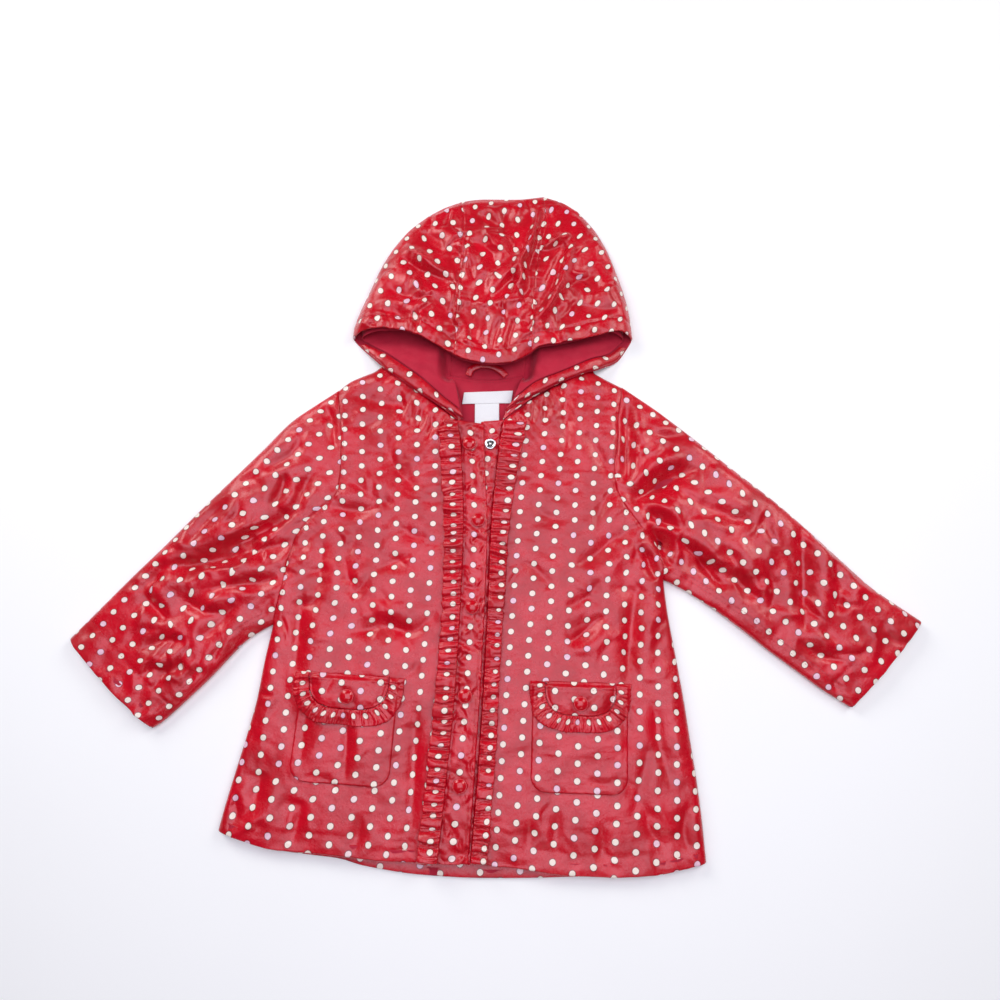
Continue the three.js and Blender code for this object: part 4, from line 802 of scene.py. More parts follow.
def label_material():
    t = Tree("label")
    uv = t.node("ShaderNodeUVMap", uv_map="Cloth").outputs[0]
    pos = t.node("ShaderNodeTexCoord").outputs["Object"]
    w = weave(t, uv, 0.0005)
    c = t.mix(t.map(w, -0.8, 0.8), (0.86, 0.85, 0.84), (0.76, 0.75, 0.75))
    t.set(Base_Color=c, Roughness=t.map(t.noise(pos, 120.0), 0.3, 0.7, 0.55, 0.68), Normal=t.bump(w, 0.35, 0.00008, t.bump(t.noise(pos, 160.0), 0.3, 0.0004)))
    t.bsdf.inputs["Sheen Weight"].default_value = 0.2
    MATERIALS["label"] = t.mat


label_material()


# ---------- fronts ----------
ROWS = {"right": FRONT_RIGHT, "left": FRONT_LEFT}
LIFT = {"right": BAND_LIFT, "left": 0.0}
SIDE_PART = 0.43


def side_and_armhole(rows):
    return joined(curve(rows["side"]), curve(rows["armhole"]), SIDE_PART)


def front_z(side, P, detail=True):
    """Height of a front's outer face at points (..., 2)."""
    rows = ROWS[side]
    x, y = P[..., 0], P[..., 1]
    d = distance(P, curve(rows["side"]), curve(rows["shoulder"]))
    centre = distance(P, curve(rows["centre"]))
    lift = LIFT[side] * (1 - smooth((centre - 4) / 22))
    f = folds(x, y) * smooth(d / 12)
    if detail:
        arm, neck = curve(rows["armhole"]), curve(rows["neck"])
        f += body_field(x, y) * smooth(d / 9)
        f += seam_at(P, arm.pts, 0.5, 2.2, 0.9, 6.5, 10, 51)
        f += seam_at(P, neck.pts, 0.6, 1.6, 1.5, 5.0, 26, 53)
        f += seam_at(P, curve(rows["side"]).pts, 0.0, 1.6, 0.3, 7, 8, 55) * smooth(d / 5)
        f += seam_at(P, curve(rows["centre"]).pts, 0.3, 1.2, 0.28, 5.0, 9, 57)
        # The hem: a turned edge, a little puffed, with puckers above it.
        hd, hs, _ = nearest(P, curve(rows["hem"]).pts)
        f += 0.5 * np.exp(-((hd - 5) / 4.5) ** 2) + 0.5 * noise(hs, hs * 0 + 3.3, 17, 61) * np.exp(-hd / 16)
        f -= 0.55 * np.exp(-((hd - 17) / 1.8) ** 2) * (0.35 + 0.65 * smooth(0.5 + noise(hs, hs * 0, 40, 62)))
        f += pocket_marks(side, P)
    top = BODY_H + lift - 1.5 * smooth((-120 - y) / 45) + f
    return EDGE_H + (top - EDGE_H) * rise(d, EDGE_W)


def pocket_frame(side):
    r = POCKETS[side]
    a = math.radians(r["lean"])
    return r, np.array([math.cos(a), math.sin(a)]), np.array([-math.sin(a), math.cos(a)])


def pocket_marks(side, P):
    """The front sinks a little along a pocket's edge, and is drawn up around it."""
    r, ex, ey = pocket_frame(side)
    q = P - np.array([r["x"], r["y"]])
    px, py = q @ ex, q @ ey
    out = np.maximum(np.abs(px) - r["w"] / 2, np.maximum(-py - r["h"], py + 2))
    wave = noise(px, py, 8, 71) * 0.35
    return np.where(out > 0, (wave - 0.35) * np.exp(-np.abs(out) / 4.0), wave * np.exp(-np.abs(out) / 5.0))


def build_front(side, outward):
    rows = ROWS[side]
    west, east = aside(curve(rows["centre"]), -outward * SEAM / 2), side_and_armhole(rows)
    north, south = back2front(curve(rows["shoulder"], rows["neck"])), curve(rows["hem"])
    us = np.concatenate([np.linspace(0, 0.9, 72), np.linspace(0.9, 1, 20)[1:]])
    vs = np.linspace(0, 1, 228)
    P2 = patch(south, north, west, east, us, vs)
    P2[0] = P2[0] + (P2[1] - P2[0]) * (1.5 / np.maximum(np.hypot(*(P2[1] - P2[0]).T), 1e-6))[:, None] * 0.9
    z = front_z(side, P2)
    # Beside the side seam a narrow lip closes the front down onto the back.
    low = 1 - smooth((vs - SIDE_PART) / 0.03)
    lip2 = P2[:, -1:] - 0.5 * np.array([[[outward, 0.0]]])
    lip = np.where(low > 0.5, lerp(z[:, -1], 1.9, 1.0), z[:, -1] - 0.4)[:, None]
    P = np.concatenate([placed(P2, z), placed(lip2, lip)], 1)
    P = curled(P, 1.3, 9.0)
    name = "front_" + side
    uv = lattice_uv(name, P)
    return wall(name + "_cloth", [(P, uv, False)], 1.1)


# ---------- back ----------
def build_back():
    south = curve(BACK_HEM)
    north = curve(FRONT_RIGHT["shoulder"], BACK_NECK, FRONT_LEFT["shoulder"][::-1])
    west, east = aside(side_and_armhole(FRONT_RIGHT), -BACK_INSET), aside(side_and_armhole(FRONT_LEFT), BACK_INSET)
    P2 = patch(south, north, west, east, np.linspace(0, 1, 100), np.linspace(0, 1, 110))
    x, y = P2[..., 0], P2[..., 1]
    hem = nearest(P2, south.pts)[0]
    lift = np.clip(0.45 * fbm(x, y, 34, 41, 3) + crease_sum(x, y, BACK_CREASES), 0, 1.1)
    sides = np.minimum(nearest(P2, west.pts)[0], nearest(P2, east.pts)[0])
    z = CLOTH + lift * smooth(hem / 12) * smooth((sides - 3) / 14) + 2.2 * (1 - smooth((hem - 1) / 14)) * (0.8 + 0.5 * noise(x, y * 0, 26, 44))
    P = curled(placed(P2, z), 1.0, 6.0)
    P[..., 2] = np.maximum(P[..., 2], 1.25)
    ex, ey = stretch(P)
    uv = np.stack([(P[..., 0] + ex) * 0.999 + (P[..., 1] + ey) * 0.03 + 5.2, (P[..., 1] + ey) * 1.0 - 0.03 * P[..., 0] + 3.0], -1) / 1000
    # The back's inner face takes inside, the lining darkened by painted shade; its upper face above y = -120 takes the
    # plain lining.
    return wall("back_cloth", [(P, uv, False)], 1.1, ("shell", "inside", "lining"), third=lambda c: c[:, 1] > -120)


BACK_CREASES = scattered(60, 31, (-230, -150, 160, 280), (30, 90), (4.0, 8.0), (0.4, 1.1), 60, 60)


# ---------- sleeves ----------
def sleeve_curves(rows, armhole, outward):
    scye = aside(back2front(curve(armhole)), outward * SLEEVE_GAP)
    a, b = scye(np.array([0.0]))[0], scye(np.array([1.0]))[0]
    return scye, curve([tuple(a)] + rows["upper"][1:]), curve([tuple(b)] + rows["lower"][1:]), curve(rows["cuff"])


def build_sleeve(side, rows, armhole, outward):
    scye, upper, lower, cuff = sleeve_curves(rows, armhole, outward)
    us = np.concatenate([[0, 0.004, 0.012, 0.024, 0.04], np.linspace(0.06, 0.94, 66), [0.96, 0.976, 0.988, 0.996, 1]])
    vs = np.linspace(0, 1, 112)
    P2 = patch(scye, cuff, upper, lower, us, vs)
    x, y = P2[..., 0], P2[..., 1]
    du, dl = nearest(P2, upper.pts)[0], nearest(P2, lower.pts)[0]
    d = np.minimum(du, dl)
    d[:, [0, -1]] = 0
    t = vs[:, None] + 0 * x
    h = np.where(t < 0.5, lerp(BODY_H, SLEEVE_H, smooth(t / 0.35)), lerp(SLEEVE_H, CUFF_H, smooth((t - 0.5) / 0.5)))
    # The lower half rolls away from the light over a wider way than the upper one, most of all near the body.
    h = h - SLEEVE_ROLL[side] * (1 - smooth(dl / 52)) * smooth(t / 0.16) * (1 - 0.45 * smooth((t - 0.55) / 0.35))
    f = folds(x, y) * smooth(d / 14) + body_field(x, y) * smooth(d / 8)
    f += seam_at(P2, curve(armhole).pts, 0.9, 1.6, 0.5, 7.5, 9, 51) * smooth(0.25 + d / 14)
    cd, cs, _ = nearest(P2, cuff.pts)
    f += 0.45 * np.exp(-((cd - 6) / 5) ** 2) - 0.8 * np.exp(-((cd - 27) / 1.6) ** 2)
    f += (0.9 * noise(cs, cs * 0 + 7, 15, 63) + 0.5 * noise(cs, cd, 8, 64)) * np.exp(-((cd - 24) / 17) ** 2) * smooth(d / 8)
    f += seam_at(P2, aside(lower, outward * 11.5).pts, 0.55, 1.3, 0.35, 4, 7, 67) * smooth(d / 4)
    f += 0.9 * noise(nearest(P2, upper.pts)[1], x * 0, 19, 68) * np.exp(-du / 9) * smooth(du / 3)
    top = FOLD_Z + (h + f - FOLD_Z) * rise(d, 16)
    top[:, [0, -1]] = FOLD_Z
    under2 = P2[:, ::2][:, ::-1][:, 1:-1] if (P2.shape[1] - 1) % 2 == 0 else P2[:, ::-1][:, 1:-1]
    du2 = np.minimum(nearest(under2, upper.pts)[0], nearest(under2, lower.pts)[0])
    lift = np.clip(0.6 * fbm(under2[..., 0], under2[..., 1], 30, 47, 3) + crease_sum(under2[..., 0], under2[..., 1], BACK_CREASES_SLEEVE), 0, 1.2) * smooth(du2 / 14)
    under = placed(under2, FOLD_Z * (1 - rise(du2, FOLD_UNDER_W)) + lift)
    P = np.concatenate([placed(P2, top), under, placed(P2[:, :1], top[:, :1])], 1)
    N = normals_of(P)
    flip_n = 1.0 if N[len(vs) // 2, len(us) // 2, 2] > 0 else -1.0
    edge = P[-1]
    o = edge - P[-3]
    o /= np.maximum(np.linalg.norm(o, axis=-1), 1e-9)[:, None]
    n = N[-3] * flip_n
    r = 1.2
    base = edge - o * r
    rows_ = [base + n * r * (math.cos(a) - 1) + o * r * math.sin(a) for a in np.radians([25, 55, 90, 130, 170])]
    rows_ += [base - n * 2 * r - o * k for k in (4, 10)]
    P = np.concatenate([P[:-1], base[None], np.array(rows_)])
    P[..., 2] = np.maximum(P[..., 2], 0.0)
    name = "sleeve_" + side
    top, under = P[:, : len(us)], P[:, len(us) - 1 :]
    return wall(name + "_cloth", [(top, lattice_uv(name, top), False), (under, lattice_uv(name, under), False)], 1.1)


SLEEVE_ROLL = {"right": 3.6, "left": 5.2}
BACK_CREASES_SLEEVE = scattered(40, 33, (-390, -40, -180, 240), (30, 80), (4.0, 8.0), (0.5, 1.2), 40, 40) + scattered(40, 34, (130, -40, 390, 240), (30, 80), (4.0, 8.0), (0.5, 1.2), -40, 40)


# ---------- placket bands ----------
def band_top(lift, P2):
    return BODY_H + lift - 1.5 * smooth((-120 - P2[..., 1]) / 45)


def band_detail(P2, west, east, seed, amount=1.0):
    x, y = P2[..., 0], P2[..., 1]
    dw, sw, _ = nearest(P2, west.pts)
    de, se, _ = nearest(P2, east.pts)
    f = 1.7 * noise(sw + 0.5 * dw, dw * 0.3, 5.0, seed) * np.exp(-dw / 9) + 1.5 * noise(se - 0.4 * de, de * 0.3, 5.6, seed + 2) * np.exp(-de / 9) + 1.0 * noise(x * 0.6, y, 9, seed + 1)
    f += 1.6 * crease_sum(x, y, BAND_SMALL)
    f += 0.5 * np.exp(-((dw - 6) / 4.5) ** 2) + 0.5 * np.exp(-((de - 7) / 5) ** 2)
    f -= 0.5 * np.exp(-((de - 2.6) / 0.9) ** 2) + 0.5 * np.exp(-((dw - 1.5) / 0.9) ** 2)
    return f * amount


def band_z(P2, side):
    if side == "right":
        seam, edge = curve(FRONT_RIGHT["centre"]), curve(OVERLAP_EDGE)
        f = band_detail(P2, seam, edge, 81) + crease_sum(P2[..., 0], P2[..., 1], BAND_CREASES)
        for cx, cy in SNAP_CAPS:
            r = np.hypot(P2[..., 0] - cx, P2[..., 1] - cy)
            ang = np.arctan2(P2[..., 1] - cy, P2[..., 0] - cx)
            f = f * smooth((r - 5.0) / 5.0) + (-0.5 + 0.4 * np.cos(5 * ang + cy)) * np.exp(-((r - 9) / 2.6) ** 2) * smooth((r - 6) / 2)
        return band_top(BAND_LIFT, P2) + np.clip(f, -1.2, 2.6)
    free, seam = aside(curve(FRONT_LEFT["centre"]), BAND_W), curve(FRONT_LEFT["centre"])
    f = band_detail(P2, free, seam, 85, 0.8) + crease_sum(P2[..., 0], P2[..., 1], BAND_CREASES_LEFT)
    cover = nearest(P2, curve(OVERLAP_EDGE).pts)[2]  # left of the overlap's edge is under it
    f = np.where(cover > 0, np.minimum(f, 0.2), f)
    return band_top(-0.3, P2) + np.clip(f, -0.9, 1.8)


BAND_SMALL = scattered(170, 83, (-50, -168, 4, 242), (6, 15), (1.2, 2.3), (0.45, 1.15), 30, 50, 0.6)
BAND_CREASES = [
    ([(-38, 205), (-31, 190), (-22, 168)], 3.2, 1.0, 0.6), ([(-20, 225), (-19, 200), (-16, 180)], 3.0, 0.9, 0.6), ([(-35, 120), (-29, 104), (-19, 96)], 3.0, 0.8, 0.6),
    ([(-38, 176), (-30, 160), (-27, 146)], 2.6, 0.8, 0.6), ([(-37, 45), (-28, 38), (-20, 20)], 3.0, 0.8, 0.6), ([(-42, -40), (-33, -52), (-26, -70)], 3.0, 0.9, 0.6),
    ([(-46, -80), (-40, -92), (-30, -98)], 2.6, 0.8, 0.6), ([(-40, 10), (-34, -6), (-31, -14)], 2.6, 0.7, 0.6), ([(-50, -125), (-42, -138), (-34, -150)], 3.0, 0.9, 0.6),
    ([(-36, 80), (-28, 74), (-17, 78)], 2.6, 0.7, 0.6), ([(-30, 205), (-26, 186), (-27, 170)], 2.4, 0.8, 0.6), ([(-34, 232), (-24, 238), (-18, 232)], 2.6, 0.8, 0.6),
]
BAND_CREASES_LEFT = [([(-6, 205), (-10, 190), (-8, 172)], 2.6, 0.9, 0.6), ([(-3, 228), (-6, 236), (-12, 240)], 2.4, 0.8, 0.6), ([(-5, 170), (-9, 160), (-10, 145)], 2.2, 0.7, 0.5)]


def build_bands():
    out = []
    vs = np.linspace(0, 1, 290)
    seam, free = aside(curve(FRONT_LEFT["centre"]), 0.1), aside(curve(FRONT_LEFT["centre"]), BAND_W)
    over, edge = aside(curve(FRONT_RIGHT["centre"]), -0.1), curve(OVERLAP_EDGE)
    for side, west, east, off in (("left", free, seam, (4.5, 6.0)), ("right", over, edge, (6.6, 3.0))):
        us = np.linspace(0, 1, 24)
        W, E = west(vs)[:, None], east(vs)[:, None]
        if side == "left":
            W[..., 1] -= 6.0 * smooth((vs - 0.94) / 0.06)[:, None]
        P2 = lerp(W, E, us[None, :, None])
        P = placed(P2, band_z(P2, side))
        # The overlap's free edge is a turned one, round and a little proud.
        P[:, -1, 2] -= 0.9
        P[:, -2, 2] -= 0.35
        P[:, -3, 2] -= 0.1
        if side == "left":
            P[:, 0, 2] -= 0.5
        uv = strip_uv(P, off)
        out.append(wall("placket_%s_cloth" % side, [(P, uv, False)], 1.1 if side == "right" else 1.0))
    return out


# ---------- ruffles ----------
def pleats(s, total, pitch, seed, sharp=0.75, grouped=False):
    """A gathered strip's creases at lengths s along it, 1 in a crease and 0 on the flat stretches between, and each stretch's own tilt."""
    r = np.random.default_rng(seed)
    n = max(int(total / pitch), 2)
    gaps = np.exp(r.normal(0, 0.5, n))
    if grouped:
        gaps = np.concatenate([[pitch * np.exp(r.normal(0, 0.25)), *r.uniform(2.0, 3.3, r.integers(1, 3))] for _ in range(n)])
        n = len(gaps)
    edges = np.concatenate([[0], np.cumsum(gaps)]) / gaps.sum() * total
    deep = r.uniform(0.35, 1.0, n + 1)
    k = np.clip(np.searchsorted(edges, s, "right") - 1, 0, n - 1)
    a, b = s - edges[k], edges[k + 1] - s
    tilt = r.uniform(-1, 1, n)[k] * (a - b) / (a + b)
    crease = np.maximum(deep[k] * np.exp(-((np.abs(a) / sharp) ** 1.25)), deep[k + 1] * np.exp(-((np.abs(b) / (sharp * 1.8)) ** 1.25)))
    return crease, tilt


def build_ruffle(name, held, free, base, total, pitch, depth, seed, off, width, nu=18):
    """held and free are functions of 0 to 1; base gives the surface it lies on."""
    nv = int(total / 0.72)
    vs, us = np.linspace(0, 1, nv), np.linspace(0, 1, nu)
    U, V = np.meshgrid(us, vs)
    s, q = V * total, U * width
    lean = 3.2 * noise(s, s * 0, 17, seed + 4) + 1.0 * noise(s, q, 7, seed + 5)
    main, tilt = pleats(np.clip(s + lean * U, 0, total), total, pitch, seed, 0.8, True)
    near, _ = pleats(np.clip(s - lean * 0.7 * U, 0, total), total, pitch * 0.55, seed + 7, 0.6)
    far, _ = pleats(np.clip(s + lean * 1.3 * U, 0, total), total, pitch * 0.9, seed + 9, 0.6)
    H, F = held(vs)[:, None], free(vs)[:, None]
    edge = 1 + (0.05 * noise(s, s * 0, 9, seed) - 0.05 * main) * U
    P2 = H + (F - H) * (U * edge)[..., None]
    B = base(P2)
    puff = np.sin(np.pi * np.clip(U * 0.92 + 0.04, 0, 1)) ** 0.7
    z = depth * (0.5 + 0.5 * tilt * smooth(U / 0.3) - 1.25 * main * (0.6 + 0.4 * smooth(U / 0.5)))
    z -= depth * (0.75 * near * (1 - smooth((U - 0.15) / 0.55)) + 0.5 * far * smooth((U - 0.4) / 0.6))
    z += 1.1 * depth * noise(s, q * 0.4, 12, seed + 3) * smooth(U / 0.4) * 0.5 + 0.5 * puff + 0.12 * noise(s, q, 2.6, seed + 6)
    z = B + REST + 0.75 + np.maximum(z + 0.9 * depth * 0.6, 0.0)
    P = placed(P2, z)
    uv = strip_uv(P, off, 1.0)
    # Cloth taken up in the creases carries the dots on faster there.
    uv[..., 1] += np.cumsum(main**1.5 * 0.1, axis=0) * total / nv / 1000
    uv[..., 0] += 1.6 * noise(s, s * 0, 31, seed + 12) / 1000
    return wall(name, [(P, uv, False)], 0.8)


def build_placket_ruffles():
    heldR, heldL = aside(curve(FRONT_RIGHT["centre"]), 0.1), aside(curve(FRONT_LEFT["centre"]), -0.1)
    a = build_ruffle("ruffle_right_cloth", heldR, curve(RUFFLE_RIGHT_OUT), lambda P: front_z("right", P), 408, 12.0, 3.4, 91, (-8.2, 2.0), 17)
    b = build_ruffle("ruffle_left_cloth", heldL, curve(RUFFLE_LEFT_OUT), lambda P: front_z("left", P), 410, 12.0, 3.4, 95, (-11.6, 9.0), 16)
    return a, b


# ---------- pockets ----------
def pocket_place(side, px, py):
    r, ex, ey = pocket_frame(side)
    return np.array([r["x"], r["y"]]) + px[..., None] * ex + py[..., None] * ey


def pocket_z(side, P2):
    """Height of a pocket's outer face, whether or not the point is on it."""
    r, ex, ey = pocket_frame(side)
    q = P2 - np.array([r["x"], r["y"]])
    px, py = q @ ex, q @ ey
    edge = np.minimum(r["w"] / 2 - np.abs(px), py + r["h"])
    z = front_z(side, P2) + REST + THIN
    z += 0.9 * smooth(edge / 22) + 0.45 * noise(px, py * 0.5, 14, 75) * smooth(edge / 8)
    z += 0.4 * noise(px + py, py - px, 6, 76) * np.exp(-np.maximum(edge, 0) / 5) - 0.45 * np.exp(-((edge - 2.4) / 0.9) ** 2)
    return z


def build_pocket(side):
    r = POCKETS[side]
    corner, half = 14, r["w"] / 2
    vs, us = np.linspace(0, 1, 64), np.linspace(-1, 1, 57)
    y = -r["h"] + vs * (r["h"] - 4)
    up = y + r["h"]
    w = np.where(up < corner, half - corner + np.sqrt(np.maximum(0, corner**2 - (corner - np.minimum(up, corner)) ** 2)), half)
    P2 = pocket_place(side, us[None] * w[:, None], y[:, None] + 0 * us[None])
    z = pocket_z(side, P2)
    z[0] -= 0.5
    z[:, [0, -1]] -= 0.5
    P = placed(P2, z)
    return wall("pocket_%s_cloth" % side, [(P, lattice_uv("pocket_" + side, P), False)], 0.8)


def round_at(side, t, grow):
    """The flap's lower outline, t from 0 to pi."""
    r = POCKETS[side]
    n, c, s = 3.2, np.cos(t), np.sin(t)
    return (r["flapW"] / 2 + grow) * np.sign(c) * np.abs(c) ** (2 / n), -(r["flapH"] + grow) * np.abs(s) ** (2 / n)


def flap_base(side, P2):
    """What the flap and its ruffle lie on: the pocket, and the front beyond it."""
    r, ex, ey = pocket_frame(side)
    q = P2 - np.array([r["x"], r["y"]])
    px, py = q @ ex, q @ ey
    over = smooth((r["w"] / 2 + 1.5 - np.abs(px)) / 3) * smooth((-1.5 - py) / 3)
    return lerp(front_z(side, P2), pocket_z(side, P2), over)


def flap_z(side, P2):
    r, ex, ey = pocket_frame(side)
    q = P2 - np.array([r["x"], r["y"]])
    px, py = q @ ex, q @ ey
    n = 3.2
    rho = (np.abs(px / (r["flapW"] / 2)) ** n + np.abs(py / r["flapH"]) ** n) ** (1 / n)
    edge = (1 - rho) * r["flapH"]
    z = flap_base(side, P2) + REST + CLOTH + 1.5 * smooth(edge / 9) + 0.35 * noise(px, py, 8, 77)
    z -= 0.45 * np.exp(-((edge - 2.2) / 0.9) ** 2) + 0.5 * np.exp(-((py + 6.5) / 0.9) ** 2)
    c = np.hypot(px, py + r["flapH"] * 0.62)
    return z - 0.9 * np.exp(-((c - 6.5) / 3.0) ** 2)


def build_flap(side):
    r = POCKETS[side]
    k = np.pi * (1 - np.linspace(0, 1, 72))
    ex, ey = round_at(side, k, -0.8)
    vs = np.linspace(0, 1, 26)[:, None]
    P2 = pocket_place(side, ex[None] + 0 * vs, lerp(ey[None], 0.0, vs))
    P = placed(P2, flap_z(side, P2))
    P[0, :, 2] -= 0.5
    uv = (P[..., :2] @ np.array([[1.0, 0.0], [0.0, 1.0]]) + np.array([3.0, -4.0])) / 1000
    return wall("flap_%s_cloth" % side, [(P, uv, False)], 1.1)


def build_flap_ruffle(side):
    r = POCKETS[side]
    T = np.linspace(0, np.pi, 400)

    def run(grow):
        x, y = round_at(side, T, grow)
        P = pocket_place(side, x, y)
        L = np.concatenate([[0], np.cumsum(np.hypot(*np.diff(P, axis=0).T))])
        return L[-1], Line(lambda t: np.stack([np.interp(np.clip(t, 0, 1) * L[-1], L, P[:, c]) for c in (0, 1)], -1), P)

    # Both edges run by their own lengths, so the pleats stay square to the flap.
    length, held = run(0.0)
    _, free = run(r["ruffle"])
    seed = 101 if side == "right" else 105
    return build_ruffle("flap_ruffle_%s_cloth" % side, held, free, lambda P: flap_base(side, P), length * 1.12, 4.6, 2.9, seed, (-5.0, 4.0), 14, 13)


# ---------- hood ----------
def pl(curves):
    return np.concatenate([c.pts for c in curves])


def hood_plan(inset):
    plan = {"rim": {}, "crown": {}, "seam": {}, "backSeam": {}, "roll": {}}
    ends = {"Right": (HOOD["crownMid"][0][0], HOOD["crownMid"][0][1] - inset), "Left": (HOOD["crownMid"][-1][0], HOOD["crownMid"][-1][1] - inset)}
    for side, sign in (("Right", -1), ("Left", 1)):
        plan["rim"][side] = aside(curve(HOOD["outline" + side]), sign * inset)
        plan["crown"][side] = back2front(aside(curve(HOOD["crownRight"]), -inset) if side == "Right" else aside(curve(HOOD["crownLeft"][::-1]), -inset))
        plan["seam"][side] = curve(HOOD["seam" + side][:-1] + [ends[side]])
        plan["backSeam"][side] = curve(HOOD["backSeam" + side][:-1] + [ends[side]])
        plan["roll"][side] = curve([HOOD["facing" + side][0]] + HOOD["roll" + side][2:]) if inset else curve(HOOD["roll" + side])
    plan["crown"]["Left"] = back2front(plan["crown"]["Left"])
    plan["mid"] = aside(curve(HOOD["crownMid"]), -inset)
    plan["outline"] = Line(None, np.concatenate([plan["rim"]["Right"].pts, plan["crown"]["Right"].pts[::-1], plan["mid"].pts, plan["crown"]["Left"].pts, plan["rim"]["Left"].pts[::-1]]))
    return plan


TURN_AT, TURN_V = 0.135, 0.19


def turn_and_seam(plan, side, by):
    return joined(moved(plan["roll"][side], by), moved(plan["backSeam"][side], by), TURN_V)


def hood_us(n):
    return np.concatenate([np.linspace(0, 0.9, n), np.linspace(0.9, 1, n // 3)[1:]])


def hood_vs(n):
    return np.unique(np.concatenate([np.linspace(0, 1, n), [TURN_AT, TURN_V]]))


def side_grids(plan, side, gap, brim, wing, nu, nv):
    us, vs = hood_us(nu), hood_vs(nv)
    west = turn_and_seam(plan, side, gap)
    return (
        patch(brim, plan["crown"][side], moved(plan["seam"][side], gap), plan["rim"][side], us, vs),
        patch(wing, plan["crown"][side], west, plan["rim"][side], us, vs),
        us,
        vs,
    )


def hood_top(P, plan, drop, detail=1.0):
    x, y = P[..., 0], P[..., 1]
    d = distance(P, plan["outline"])
    h = np.interp(y, *zip(*HOOD_RISE)) - drop + folds(x, y) * smooth(d / 14)
    if detail:
        f = hood_field(x, y) * smooth(d / 9)
        for c, seed in ((plan["seam"]["Right"], 111), (plan["seam"]["Left"], 113)):
            f += seam_at(P, c.pts, 0.5, 1.8, 1.2, 4.5, 7.5, seed)
        bd, bs, _ = nearest(P, BRIM.pts)
        f += 0.6 * np.exp(-((bd - 6) / 4) ** 2) - 1.5 * np.exp(-((bd - 13.5) / 1.5) ** 2)
        f += 1.6 * noise(bs, bs * 0 + 2, 7, 115) * np.exp(-(((bd - 13) / 9) ** 2)) + 1.0 * noise(bs, bs * 0 + 9, 15, 116) * np.exp(-bd / 12)
        h = h + f * detail
    z = FOLD_Z + (h - FOLD_Z) * (0.72 * rise(d, 18) + 0.28 * smooth(d / 70))
    return np.where(d < 0.3, FOLD_Z, z)


BRIM = Line(None, np.concatenate([curve(HOOD["brimRight"][::-1]).pts, curve(HOOD["brimMid"]).pts, curve(HOOD["brimLeft"]).pts]))


def wing_rise(P, plan, side):
    out = np.abs(P[..., 0] + 13)
    return WING_Z * smooth((340 - P[..., 1]) / 36) * (1 - smooth((out - 98) / 42)) * smooth((distance(P, plan["backSeam"][side]) - 4) / 10)


def hood_under(P, plan, side, up):
    d = distance(P, plan["outline"])
    r = wing_rise(P, plan, side) / WING_Z if side else 0 * d
    z = np.maximum(FOLD_Z * (1 - rise(d, FOLD_UNDER_W)), up + WING_Z * r + (5.6 * r * (1 - r) if up else 0))
    return np.where(d < 0.3, FOLD_Z, z)


def wing_detail(P, side):
    """Soft puckers on a wing, shared by the shell, its lining and its facing."""
    x, y = P[..., 0], P[..., 1]
    d, at, _ = nearest(P, curve(HOOD["wing" + side]).pts)
    return (0.55 * noise(at, at * 0 + 4, 10, 121) * np.exp(-d / 14) + 0.6 * fbm(x, y, 22, 123, 2) * smooth(d / 8)) * smooth((330 - y) / 14)


def seam_curl(P, depth=0.8, axis=1, end=0):
    """A sewn edge dips to its seam."""
    idx = [slice(None)] * 3
    idx[axis] = end
    P[tuple(idx[:2])][..., 2] -= depth
    return P


